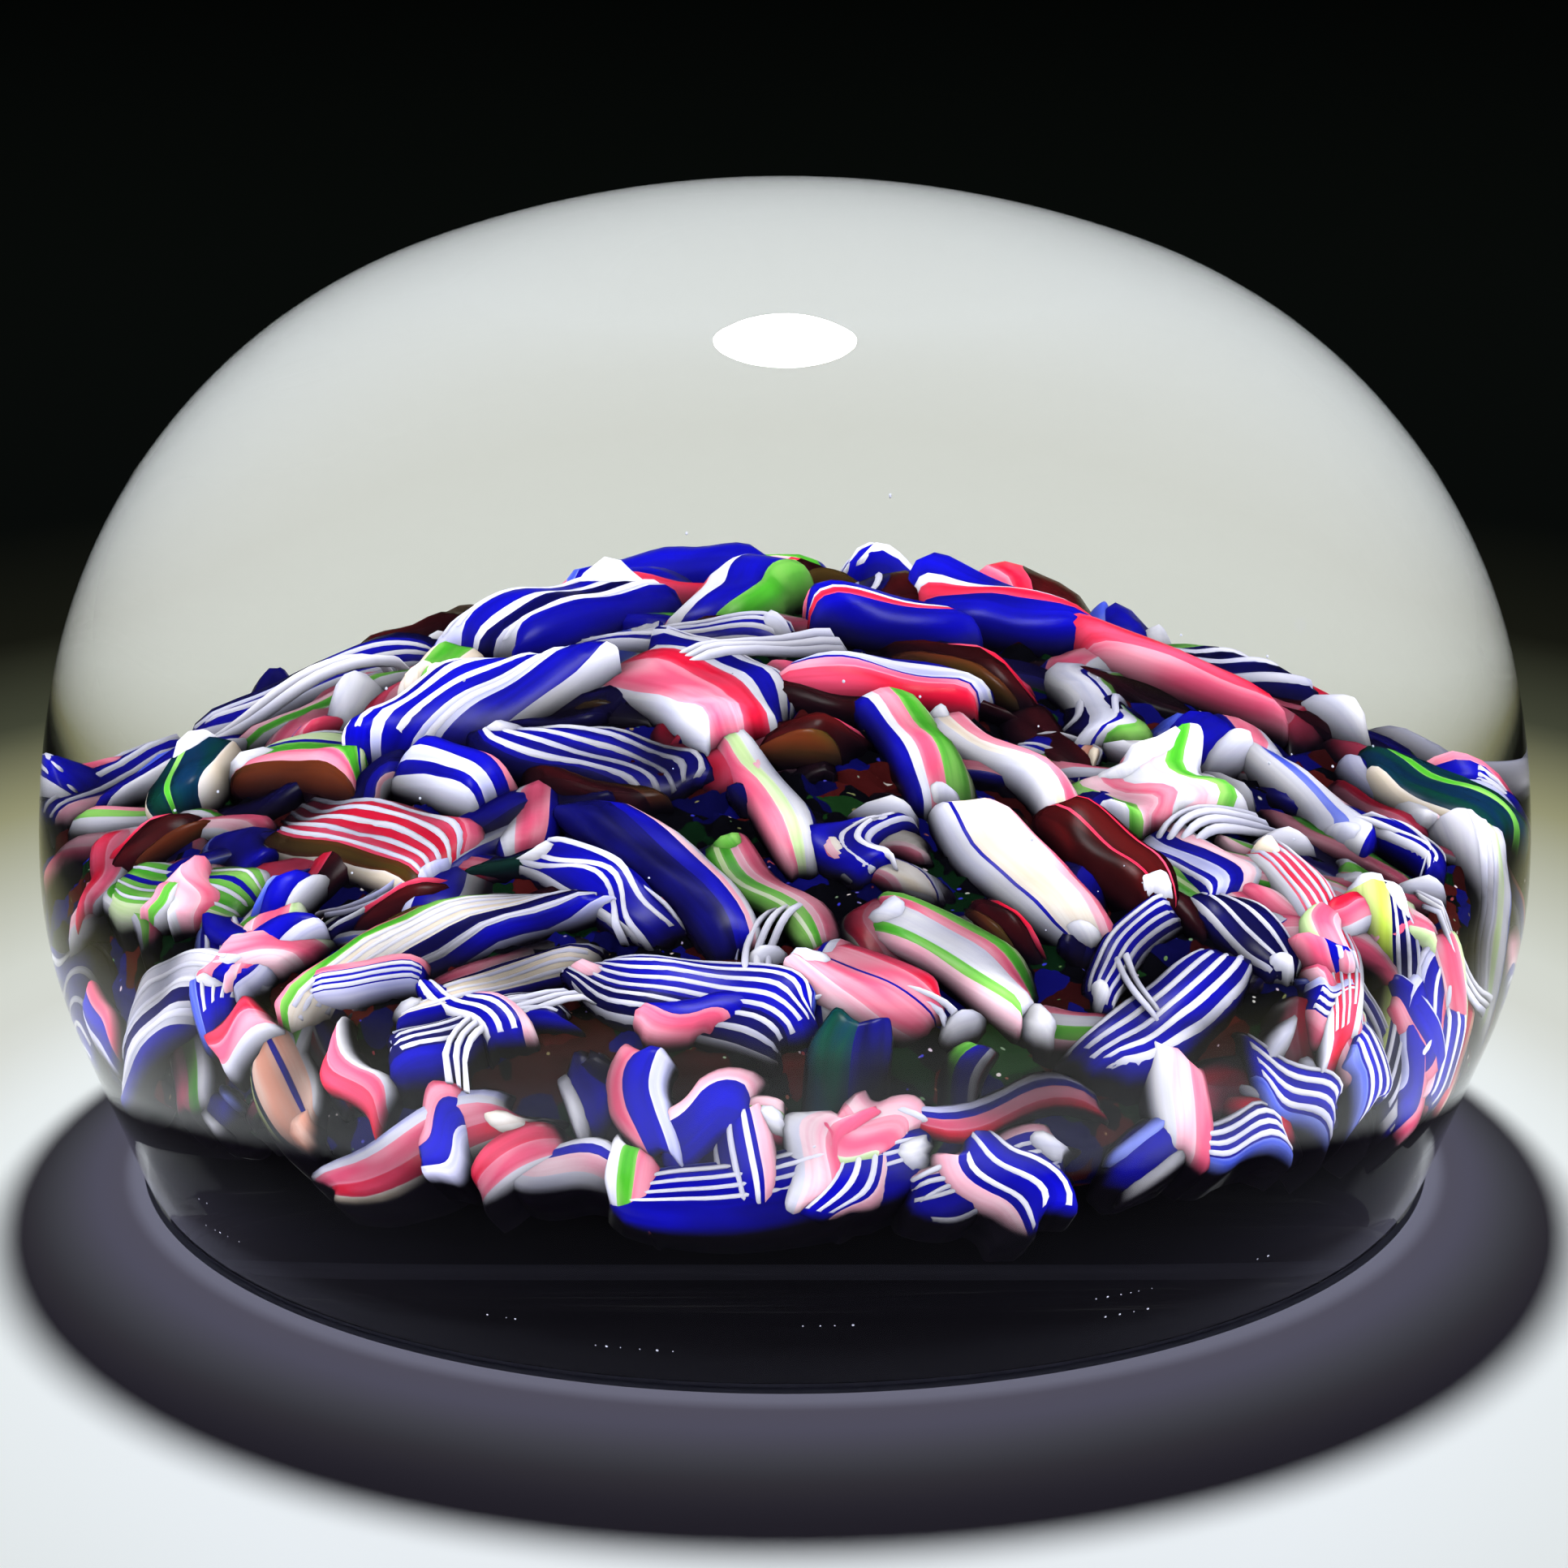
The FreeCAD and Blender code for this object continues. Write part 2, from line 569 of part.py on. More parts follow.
def petalChip(body, name, chip):
    """A pressed drop of glass, pointed at both ends."""
    sketch = sketchOn(body, "XY_Plane", name + "Plan")
    radius = (chip.length**2 + chip.width**2) / (4 * chip.width)
    spread = math.asin(chip.length / 2 / radius)
    offset = radius - chip.width / 2
    addArc(sketch, (0, -offset), radius, math.pi / 2 - spread, math.pi / 2 + spread)
    addArc(sketch, (0, offset), radius, -math.pi / 2 - spread, -math.pi / 2 + spread)
    platePad(body, name, sketch, chip.thickness())


def bowChip(body, name, chip):
    """A ribbon that sagged sideways into a bow as it melted."""
    sketch = sketchOn(body, "XY_Plane", name + "Plan")
    sag = min(size("bow_sag"), chip.width / 2)
    band = chip.width - sag
    half = chip.length / 2
    radius = (half**2 + sag**2) / (2 * sag) + band
    spread = math.asin(half / radius)
    middle = chip.width / 2 - radius
    inside = radius - band
    addArc(sketch, (0, middle), radius, math.pi / 2 - spread, math.pi / 2 + spread)
    addArc(sketch, (0, middle), inside, math.pi / 2 - spread, math.pi / 2 + spread)
    for side in (-1, 1):
        angle = math.pi / 2 + side * spread
        away = Vector(math.cos(angle), math.sin(angle), 0)
        centre = Vector(0, middle, 0)
        sketch.addGeometry(Part.LineSegment(centre + away * inside, centre + away * radius))
    platePad(body, name, sketch, chip.thickness())


def shardChip(body, name, chip):
    """A broken lump with six uneven sides."""
    sketch = sketchOn(body, "XY_Plane", name + "Plan")
    long, wide = chip.length / 2, chip.width / 2
    addOutline(sketch, [
        (long, -0.2 * wide), (0.5 * long, wide), (-0.4 * long, wide),
        (-long, 0.3 * wide), (-0.7 * long, -wide), (0.6 * long, -wide),
    ])
    platePad(body, name, sketch, chip.thickness())


makers = {
    "ribbon": ribbonChip,
    "thread": threadChip,
    "rod": rodChip,
    "petal": petalChip,
    "bow": bowChip,
    "shard": shardChip,
}

chips = [Chip(*row) for row in plan]
rounds = settle(chips)
print("canes settled in", rounds, "rounds")

groups = {}
for number, chip in enumerate(chips):
    name = f"Cane{number:03d}"
    body = doc.addObject("PartDesign::Body", name)
    makers[chip.kind](body, name, chip)
    turn = FreeCAD.Rotation(chip.along, chip.across, chip.normal, "ZXY")
    body.Placement = FreeCAD.Placement(chip.seat + chip.normal * size("seat_gap"), turn)
    groups.setdefault(chip.node, []).append(body)

for node, bodies in groups.items():
    if len(bodies) == 1:
        subParts[node] = bodies[0]
    else:
        subParts[node] = doc.addObject("Part::Compound", node)
        subParts[node].Links = bodies

doc.recompute()
for item in doc.Objects:
    if "Invalid" in item.State or "Error" in item.State:
        raise RuntimeError(f"{item.Label} failed to build")

os.makedirs("parts", exist_ok=True)
for node, item in subParts.items():
    item.Label = node
    shape = item.Shape
    if shape.isNull() or not shape.isValid():
        raise RuntimeError(f"{node} has no valid shape")
    shape.exportStep(f"parts/{node}.step")
print(len(subParts), "sub-parts,", len(chips), "canes")
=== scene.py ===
import bmesh
import bpy
import math
import random
from mathutils import Matrix, Vector, noise


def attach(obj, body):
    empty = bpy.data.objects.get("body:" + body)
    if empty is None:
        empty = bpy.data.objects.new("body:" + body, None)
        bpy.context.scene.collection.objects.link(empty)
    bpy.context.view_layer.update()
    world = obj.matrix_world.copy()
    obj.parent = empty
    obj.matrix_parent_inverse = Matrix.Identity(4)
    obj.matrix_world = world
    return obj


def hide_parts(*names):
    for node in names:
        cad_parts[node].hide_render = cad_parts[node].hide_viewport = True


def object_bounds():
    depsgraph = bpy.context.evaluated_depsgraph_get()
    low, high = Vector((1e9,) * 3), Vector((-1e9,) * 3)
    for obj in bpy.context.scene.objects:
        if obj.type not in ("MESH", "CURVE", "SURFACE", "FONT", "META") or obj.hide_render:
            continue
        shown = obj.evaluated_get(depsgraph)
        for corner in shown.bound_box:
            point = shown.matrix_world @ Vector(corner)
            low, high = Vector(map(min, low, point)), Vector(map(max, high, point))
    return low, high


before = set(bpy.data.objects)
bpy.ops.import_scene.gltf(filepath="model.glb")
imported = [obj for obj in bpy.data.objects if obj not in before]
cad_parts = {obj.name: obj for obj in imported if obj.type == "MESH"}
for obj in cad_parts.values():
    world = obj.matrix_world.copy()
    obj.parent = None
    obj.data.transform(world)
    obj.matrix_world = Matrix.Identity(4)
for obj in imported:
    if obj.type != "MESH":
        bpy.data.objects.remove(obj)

cadLow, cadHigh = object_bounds()
mm = 0.001
sameSpot = 1e-7  # vertices closer than this are one
mixA, mixB, mixResult = 6, 7, 2  # the sockets of a Mix node that mixes colours
random.seed(11)
print("frame loaded:", len(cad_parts), "nodes")


def linear(code):  # sRGB hex to linear colour
    parts = [int(code[place:place + 2], 16) / 255 for place in (1, 3, 5)]
    curved = [part / 12.92 if part <= 0.04045 else ((part + 0.055) / 1.055) ** 2.4 for part in parts]
    return (*curved, 1.0)


def addNode(tree, kind, inputs=None, links=None, **settings):
    node = tree.nodes.new("ShaderNode" + kind)
    for name, value in settings.items():
        setattr(node, name, value)
    for name, value in (inputs or {}).items():
        node.inputs[name].default_value = value
    for name, source in (links or {}).items():  # a whole node stands for its first output
        socket = source.outputs[0] if isinstance(source, bpy.types.Node) else source
        tree.links.new(socket, node.inputs[name])
    return node


def newMaterial(name):
    material = bpy.data.materials.new(name)
    material.use_nodes = True
    material.node_tree.nodes.clear()
    return material, material.node_tree


def setRamp(node, stops):  # a new ramp has two stops of its own
    for spot, code in stops[2:]:
        node.color_ramp.elements.new(spot)
    for element, (spot, code) in zip(node.color_ramp.elements, stops):
        element.position = spot
        element.color = linear(code)


def addObject(name, data):
    made = bpy.data.objects.new(name, data)
    bpy.context.scene.collection.objects.link(made)
    return made


def meshObject(bm, name, skins):
    mesh = bpy.data.meshes.new(name)
    bm.to_mesh(mesh)
    bm.free()
    for skin in skins:
        mesh.materials.append(skin)
    mesh.shade_smooth()
    return addObject(name, mesh)


def finishPiece(bm, name, skins, slot, nodes=()):
    piece = meshObject(bm, name, skins)
    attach(piece, "root")
    if nodes:
        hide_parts(*nodes)
    return piece


def leaning(outward, turn):  # straight up, turned outward by an angle
    return outward * math.sin(turn) + Vector((0, 0, math.cos(turn)))


def placeAt(holder, spot, target):  # cameras and lamps look along their own -Z
    holder.location = spot
    holder.rotation_euler = (target - spot).to_track_quat("-Z", "Y").to_euler()


# the camera
cameraLook = {
    "target": Vector((-0.05, 0.0, 19.2)) * mm,
    "distance": 228 * mm,
    "elevation": 15.9,
    "lens": 101.7,
    "sensor": 36,
    "nearest": 2 * mm,
}


def makeCamera(look):
    camera = bpy.data.cameras.new("camera")
    camera.sensor_width = look["sensor"]
    camera.lens = look["lens"]
    camera.clip_start = look["nearest"]
    holder = addObject("camera", camera)
    towardsCamera = leaning(Vector((0, -1, 0)), math.radians(90 - look["elevation"]))
    placeAt(holder, look["target"] + look["distance"] * towardsCamera, look["target"])
    bpy.context.scene.camera = holder


makeCamera(cameraLook)
print("camera set")


# the clear casing and the gather below it are one optical body, as in the real weight
casingLook = {
    "belt": 16.5 * mm,
    "sideRadius": 44 * mm,
    "shoulderHeight": 25.9 * mm,
    "crownAngle": 21,
    "flankRadius": 22 * mm,
    "flankAngle": 21,
    "ringWidth": 3.6 * mm,
    "hollow": 0.2 * mm,
    "lip": 0.6 * mm,
    "lipZone": 6 * mm,  # how far in from the widest radius the lip can lie
    "turns": 288,
    "steps": {"crown": 24, "shoulder": 44, "side": 12, "flank": 16, "lip": 8, "hollow": 10},
}


def arcFrom(bm, start, centre, angle, steps):  # sweeps a vertex in the XZ plane, and returns the last one
    made = bmesh.ops.spin(
        bm, geom=[start], cent=(centre[0], 0, centre[1]), axis=(0, 1, 0), angle=angle, steps=steps
    )
    return next(item for item in made["geom_last"] if isinstance(item, bmesh.types.BMVert))


def lineFrom(bm, start, end):  # the same in a straight line
    last = bm.verts.new((end[0], 0, end[1]))
    bm.edges.new((start, last))
    return last


def turnProfile(bm, turns):  # spins what is drawn in the XZ plane into a closed body
    bmesh.ops.spin(
        bm, geom=bm.verts[:] + bm.edges[:], cent=(0, 0, 0), axis=(0, 0, 1),
        angle=2 * math.pi, steps=turns, use_merge=True,
    )
    bmesh.ops.remove_doubles(bm, verts=bm.verts, dist=sameSpot)
    bmesh.ops.recalc_face_normals(bm, faces=bm.faces)


# from the crown down to the foot: four arcs that run into each other, the lip, the flat ring and the hollow
def casingProfile(bm, look):
    bodyRadius, height, belt, steps = cadHigh.x, cadHigh.z, look["belt"], look["steps"]
    crownTurn, flankTurn = math.radians(look["crownAngle"]), math.radians(look["flankAngle"])
    side = (bodyRadius - look["sideRadius"], belt)
    sideLean = (look["shoulderHeight"] - belt) / look["sideRadius"]
    sideTurn = math.asin(sideLean)
    sideTop = side[0] + look["sideRadius"] * math.cos(sideTurn)
    crownLean = math.tan(crownTurn / 2)
    shoulderRadius = height - look["shoulderHeight"] - sideTop * crownLean
    shoulderRadius /= 1 - sideLean - math.cos(sideTurn) * crownLean
    shoulder = (
        sideTop - shoulderRadius * math.cos(sideTurn),
        look["shoulderHeight"] - shoulderRadius * sideLean,
    )
    crownRadius = shoulder[0] / math.sin(crownTurn) + shoulderRadius
    last = bm.verts.new((0, 0, height))
    last = arcFrom(bm, last, (0, height - crownRadius), crownTurn, steps["crown"])
    last = arcFrom(bm, last, shoulder, math.pi / 2 - crownTurn - sideTurn, steps["shoulder"])
    last = arcFrom(bm, last, side, sideTurn, steps["side"])
    last = arcFrom(bm, last, (bodyRadius - look["flankRadius"], belt), flankTurn, steps["flank"])
    footEdge = last.co.x - last.co.z * math.tan(flankTurn)
    lip = look["lip"]
    lipCentre = (footEdge + lip * (math.tan(flankTurn) - 1 / math.cos(flankTurn)), lip)
    lipTop = (lipCentre[0] + lip * math.cos(flankTurn), lip - lip * math.sin(flankTurn))
    last = lineFrom(bm, last, lipTop)
    last = arcFrom(bm, last, lipCentre, math.pi / 2 - flankTurn, steps["lip"])
    hollow = look["hollow"]
    hollowEdge = footEdge - lip - look["ringWidth"]
    last = lineFrom(bm, last, (hollowEdge, last.co.z))
    hollowRadius = (hollowEdge**2 + hollow**2) / (2 * hollow)
    arcFrom(bm, last, (0, hollow - hollowRadius), -math.asin(hollowEdge / hollowRadius), steps["hollow"])


crystalLook = {
    "ior": 1.52,
    "litThrough": "#D0D0D0",  # what one wall lets in from the lamp
    "shade": [  # light that has gone right through, by how high in millimetres it came out of the wall
        (1.4, "#8C899C"), (2.6, "#6C6777"), (5, "#6A6678"), (7, "#625F6C"), (8.5, "#595760"),
        (10.5, "#4C4A51"), (12, "#444047"), (15.5, "#38343D"), (20, "#302C35"),
    ],
}
# the rim: a metal mirror for the light line at the foot, and a painted shade colour seen from inside
rimLook = {"mirror": "#F0EEF4", "roughness": 0.2, "inside": "#0C0C10"}


# lead crystal, fire-polished: no colour, a hard bright highlight, strong bending of light.
# Shadow and soft light can't be bent on their way here, so they go straight through and take a tone instead
def clearCrystal(look):
    material, tree = newMaterial("leadCrystalFirePolished")
    glass = addNode(tree, "BsdfPrincipled", {
        "Base Color": linear("#FFFFFF"), "Roughness": 0.0, "IOR": look["ior"], "Transmission Weight": 1.0,
    })
    place = addNode(tree, "TexCoord")
    split = addNode(tree, "SeparateXYZ", links={0: place.outputs["Object"]})
    highest = look["shade"][-1][0]
    part = addNode(tree, "Math", {1: 1 / (highest * mm)}, {0: split.outputs["Z"]}, operation="MULTIPLY")
    shade = addNode(tree, "ValToRGB", links={"Fac": part})
    setRamp(shade, [(height / highest, code) for height, code in look["shade"]])
    wall = addNode(tree, "NewGeometry")
    lit = addNode(tree, "Mix", {mixB: linear(look["litThrough"])}, {
        "Factor": wall.outputs["Backfacing"], mixA: shade,
    }, data_type="RGBA")
    through = addNode(tree, "BsdfTransparent", links={"Color": lit.outputs[mixResult]})
    path = addNode(tree, "LightPath")
    soft = addNode(tree, "Math", links={
        0: path.outputs["Is Shadow Ray"], 1: path.outputs["Is Diffuse Ray"],
    }, operation="MAXIMUM")
    mix = addNode(tree, "MixShader", links={0: soft, 1: glass, 2: through})
    addNode(tree, "OutputMaterial", links={"Surface": mix})
    return material


# the same crystal, rounded at the foot and made a metal mirror there, so that met at a slant it shows the
# table as a light line; from inside it is painted dark, a painted shade
def roundedRim(look):
    material, tree = newMaterial("leadCrystalRoundedRim")
    mirror = addNode(tree, "BsdfPrincipled", {
        "Base Color": linear(look["mirror"]), "Metallic": 1.0, "Roughness": look["roughness"],
    })
    dark = addNode(tree, "BsdfPrincipled", {
        "Base Color": linear(look["inside"]), "Roughness": 1.0, "Specular IOR Level": 0.0,
    })
    wall = addNode(tree, "NewGeometry")
    mix = addNode(tree, "MixShader", links={0: wall.outputs["Backfacing"], 1: mirror, 2: dark})
    addNode(tree, "OutputMaterial", links={"Surface": mix})
    return material


def makeClearWeight(look):
    bm = bmesh.new()
    casingProfile(bm, look)
    turnProfile(bm, look["turns"])
    for face in bm.faces:
        middle = face.calc_center_median()
        outside = math.hypot(middle.x, middle.y) > cadHigh.x - look["lipZone"]
        flat = face.normal.z < -0.999  # the ring that the weight stands on
        # the rounded lip takes the mirror skin, painted dark from inside
        if middle.z < look["lip"] and outside and not flat:
            face.material_index = 1
    skins = [clearCrystal(crystalLook), roundedRim(rimLook)]
    return finishPiece(bm, "clear_weight", skins, "crystal", ["crystal_dome", "ground_gather"])


clearWeight = makeClearWeight(casingLook)
print("clear weight made:", len(clearWeight.data.polygons), "faces")


# cane glasses. Each has its lit colour, the tint it drifts to along the cane and at the sides of its band,
# its deep colour, its roughness and how much light soaks into it
caneColours = {
    "white": ("#ECECEE", "#DADCEC", "#B8BCD8", 0.35, 0.3),
    "milk": ("#D4D6E4", "#EAE8EC", "#A0A4C8", 0.35, 0.3),
    "thread": ("#F2F2F8", "#E0E2F4", "#B0B4E6", 0.30, 0.0),
    "cobalt": ("#0808BC", "#05058C", "#03034A", 0.30, 0.0),
    "ink": ("#08084A", "#101074", "#020216", 0.25, 0.0),
    "pink": ("#FA6488", "#FFB0C0", "#D03A62", 0.35, 0.3),
    "rose": ("#FFBCCB", "#FFE4E8", "#EC7C9C", 0.35, 0.3),
    "red": ("#F4183E", "#FA5C80", "#A80C24", 0.30, 0.2),
    "ruby": ("#4E0E0E", "#200606", "#100304", 0.25, 0.0),
    "green": ("#50BC2C", "#A2E070", "#1E7A1E", 0.30, 0.2),
    "pale": ("#D8F2B0", "#F2FAE0", "#98CC64", 0.35, 0.3),
    "lime": ("#CEEA58", "#ECF6AC", "#84A830", 0.35, 0.2),
    "teal": ("#084034", "#0A2850", "#02140E", 0.25, 0.0),
    "cream": ("#FCEED4", "#FEFAF4", "#D6B294", 0.35, 0.3),
    "peach": ("#FCB498", "#FFDECA", "#D87458", 0.35, 0.3),
    "lilac": ("#CCD0FA", "#ECECFF", "#8088D8", 0.35, 0.3),
    "sky": ("#5068EC", "#94A4F8", "#141CA8", 0.30, 0.0),
    "olive": ("#4E3A12", "#6E2E16", "#140E06", 0.25, 0.0),
}
caneSkin = {
    "cloud": (4.55, 1.43),  # length and width of a drift of tint, in millimetres
    "cloudRange": {"From Min": 0.42, "From Max": 0.62, "To Max": 0.85},
    "sideRange": {"From Min": 0.5, "From Max": 1.1, "To Max": 0.8},  # 0 is the middle of a band, 1 its side
    "streak": (8.33, 0.385),  # and of a streak that the pull leaves, drawn as coarse as it needs to show
    "streakRange": {"From Min": 0.45, "From Max": 0.75, "To Max": 0.4},
    "edge": 0.14,
    "depth": 4.4 * mm,
    "paintedShadeRange": {"From Min": 0.58, "From Max": 0.92},  # of that depth: from painted shade to its own colour
    # painted shade: the dark put in for the shade down between the canes and in mirrored views
    "paintedShade": "#08060C",
    "gloss": {"IOR": 1.5, "Specular IOR Level": 0.03},  # it is fused into the casing, so it hardly shines
    "soak": {"Subsurface Radius": (1.0, 0.9, 0.9), "Subsurface Scale": 0.5 * mm},
}


# coloured cane glass pulled hot: fine streaks along it, deeper at its edges, a painted shade darker down
# between the canes, and painted black where it is only seen by way of a mirror inside the weight
def caneGlass(name, look):
    lit, drift, deep, roughness, soak = caneColours[name]
    material, tree = newMaterial(name + "CaneGlassPulled")
    place = addNode(tree, "UVMap", uv_map="strand")
    level = addNode(tree, "UVMap", uv_map="level")
    split = addNode(tree, "SeparateXYZ", links={0: level.outputs["UV"]})
    noises = {}
    for pattern, detail in (("cloud", {"Detail": 1.0}), ("streak", {"Detail": 3.0, "Roughness": 0.6})):
        long, wide = look[pattern]
        scaled = addNode(tree, "Mapping", {"Scale": (1 / long, 1 / wide, 1)}, {
            "Vector": place.outputs["UV"],
        })
        field = addNode(tree, "TexNoise", {"Scale": 1.0, **detail}, {"Vector": scaled})
        noises[pattern] = addNode(tree, "MapRange", look[pattern + "Range"], {
            "Value": field.outputs["Fac"],
        })
    side = addNode(tree, "MapRange", look["sideRange"], {"Value": split.outputs["Y"]})
    drifted = addNode(tree, "Math", links={0: noises["cloud"], 1: side}, operation="MAXIMUM")
    hue = addNode(tree, "Mix", {mixA: linear(lit), mixB: linear(drift)}, {
        "Factor": drifted,
    }, data_type="RGBA")
    edge = addNode(tree, "LayerWeight", {"Blend": look["edge"]})
    deepened = addNode(tree, "Math", links={
        0: edge.outputs["Facing"], 1: edge.outputs["Facing"], 2: noises["streak"],
    }, operation="MULTIPLY_ADD", use_clamp=True)
    tone = addNode(tree, "Mix", {mixB: linear(deep)}, {
        "Factor": deepened, mixA: hue.outputs[mixResult],
    }, data_type="RGBA")
    # painted shade by height over the seat, and painted black where the glass is seen in a mirror
    outOfPaintedShade = addNode(tree, "MapRange", look["paintedShadeRange"], {
        "Value": split.outputs["X"],
    }, interpolation_type="SMOOTHSTEP")
    path = addNode(tree, "LightPath")
    straight = addNode(tree, "Math", {0: 1.0}, {1: path.outputs["Is Reflection Ray"]}, operation="SUBTRACT")
    shown = addNode(tree, "Math", links={0: outOfPaintedShade, 1: straight}, operation="MULTIPLY")
    colour = addNode(tree, "Mix", {mixA: linear(look["paintedShade"])}, {
        "Factor": shown, mixB: tone.outputs[mixResult],
    }, data_type="RGBA")
    glass = addNode(tree, "BsdfPrincipled", {
        "Roughness": roughness, "Subsurface Weight": soak, **look["gloss"], **look["soak"],
    }, {"Base Color": colour.outputs[mixResult]})
    addNode(tree, "OutputMaterial", links={"Surface": glass})
    return material


glassNames = list(caneColours)
glasses = [caneGlass(name, caneSkin) for name in glassNames]
print("glasses mixed:", len(glasses))


# where each cane end lies: its own solid in the frame gives its place, heading and size
seat = {
    "crownRadius": 49 * mm,
    "crownTop": 17.4 * mm,
    "crease": 27.3,
    "slope": 64,
    "rise": 1.26,  # the canes are this much larger than their solids, upwards,
    "spread": 1.3,  # along
    "spreadAcross": 1.378,  # and across, and so they touch as fused ones do
}
crownCentre = Vector((0, 0, seat["crownTop"] - seat["crownRadius"]))
creaseTurn, slopeTurn = math.radians(seat["crease"]), math.radians(seat["slope"])
creaseReach = seat["crownRadius"] * math.sin(creaseTurn)
creaseHeight = crownCentre.z + seat["crownRadius"] * math.cos(creaseTurn)
facingDown = -0.95  # a solid's base is the faces whose normals are at least this much against its up
towardsRight = Vector((1, 0.05, -0.1))


def heightOver(point):  # how far a point lies above the seat: a crown, and a steeper side past its crease
    overCrown = (point - crownCentre).length - seat["crownRadius"]
    across, up = math.hypot(point.x, point.y) - creaseReach, point.z - creaseHeight
    return max(overCrown, across * math.sin(slopeTurn) + up * math.cos(slopeTurn))


def looseParts(mesh):  # each solid of a node: its points, and its faces as normals and areas
    bm = bmesh.new()
    bm.from_mesh(mesh)
    bmesh.ops.remove_doubles(bm, verts=bm.verts, dist=sameSpot)
    seen, parts = set(), []
    for first in bm.verts:
        if first in seen:
            continue
        seen.add(first)
        found = [first]
        for vert in found:  # the list grows while it is walked
            for edge in vert.link_edges:
                other = edge.other_vert(vert)
                if other not in seen:
                    seen.add(other)
                    found.append(other)
        faces = dict.fromkeys(face for vert in found for face in vert.link_faces)
        points = [vert.co.copy() for vert in found]
        flats = [(face.normal.copy(), face.calc_area()) for face in faces]
        parts.append((points, flats))
    bm.free()
    parts.sort(key=lambda part: tuple(sum(part[0], Vector()) / len(part[0])))
    return parts


def seatOf(part):  # the cane's own frame: X along it, to the right; Z out of the seat, square to its base
    points, flats = part
    middle = sum(points, Vector()) / len(points)
    outward = Vector((middle.x, middle.y, 0)).normalized()
    guesses = [(middle - crownCentre).normalized(), leaning(outward, slopeTurn)]
    best = None
    for guess in guesses:
        under = [(normal, area) for normal, area in flats if normal.dot(guess) < facingDown]
        total = sum(area for normal, area in under)
        if under and (best is None or total > best[0]):
            best = (total, -sum((normal * area for normal, area in under), Vector()).normalized())
    up = best[1] if best else guesses[0]
    across = up.orthogonal().normalized()
    away = up.cross(across)
    flat = [((point - middle).dot(across), (point - middle).dot(away)) for point in points]
    sxx = sum(x * x for x, y in flat)
    syy = sum(y * y for x, y in flat)
    sxy = sum(x * y for x, y in flat)
    turn = math.atan2(2 * sxy, sxx - syy) / 2  # the longest way over the outline
    along = across * math.cos(turn) + away * math.sin(turn)
    if along.dot(towardsRight) < 0:
        along = -along
    away = up.cross(along)
    spans = []
    for axis in (along, away, up):
        reach = [(point - middle).dot(axis) for point in points]
        spans.append((min(reach), max(reach)))
    origin = middle + along * sum(spans[0]) / 2 + away * sum(spans[1]) / 2 + up * spans[2][0]
    length, width, thick = (high - low for low, high in spans)
    return {"origin": origin, "axes": (along, away, up), "length": length, "width": width, "thick": thick}


# the strands that a cane end is made of, side by side
barLook = {
    "edge": 0.2 * mm,
    "across": 0.55 * mm,  # how far apart the cuts along a band are
    "lengths": 14,
}


def readBands(words):  # "cobalt 1 x6, white 0.5" becomes glass, share and threads
    bands = []
    for word in words.split(", "):
        glass, share, *threads = word.split()
        bands.append((glass, float(share), int(threads[0][1:]) if threads else 0))
    return bands


def bisect(bm, place, normal):
    bmesh.ops.bisect_plane(bm, geom=bm.verts[:] + bm.edges[:] + bm.faces[:], plane_co=place, plane_no=normal)


def bar(bands, width, length, thick, look):  # a flat cane end, cut between its bands, within them and across
    bm = bmesh.new()
    made = bmesh.ops.create_cube(bm, size=1)
    bmesh.ops.scale(bm, vec=(length, width, thick), verts=made["verts"])
    bmesh.ops.translate(bm, vec=(0, 0, thick / 2), verts=made["verts"])
    bmesh.ops.bevel(
        bm, geom=bm.edges[:], offset=look["edge"], offset_type="OFFSET",
        segments=2, profile=0.5, affect="EDGES", material=-1,
    )
    total = sum(band[1] for band in bands)
    lastCut = width / 2 - 1.05 * look["edge"]  # clear of the rounded edge
    strips, low = [], -width / 2
    for glass, share, threads in bands:
        high = low + width * share / total
        strips.append((low, high, glass, threads))
        parts = max(2, round((high - low) / look["across"]))
        for part in range(parts):
            cut = low + (high - low) * (part + 1) / parts
            if cut < lastCut:
                bisect(bm, (0, cut, 0), (0, 1, 0))
        low = high
    for step in range(1, look["lengths"]):
        bisect(bm, (length * (step / look["lengths"] - 0.5), 0, 0), (1, 0, 0))
    for face in bm.faces:
        across = face.calc_center_median().y
        glass = next((strip[2] for strip in strips if across <= strip[1]), strips[-1][2])
        face.material_index = glassNames.index(glass)
    return bm, strips


def thread(middle, radius, length, high, steps):  # a round thread along X
    bm = bmesh.new()
    made = bmesh.ops.create_cone(
        bm, cap_ends=True, cap_tris=False, segments=8, radius1=radius, radius2=radius, depth=length
    )
    bmesh.ops.rotate(bm, verts=made["verts"], matrix=Matrix.Rotation(math.pi / 2, 3, "Y"))
    bmesh.ops.translate(bm, vec=(0, middle, high), verts=made["verts"])
    sides = [edge for edge in bm.edges if abs(edge.verts[0].co.x - edge.verts[1].co.x) > length / 2]
    bmesh.ops.subdivide_edges(bm, edges=sides, cuts=steps)
    return bm


def threadLines(strips, most, share):  # each thread's number in its band, its place across, and its radius
    for low, high, glass, threads in strips:
        for line in range(threads):
            room = (high - low) / threads
            yield line, low + room * (line + 0.5), min(most, room * share)


lumpDents = {"depth": 0.16, "across": 3, "apart": 900}  # the last makes those of two lumps differ


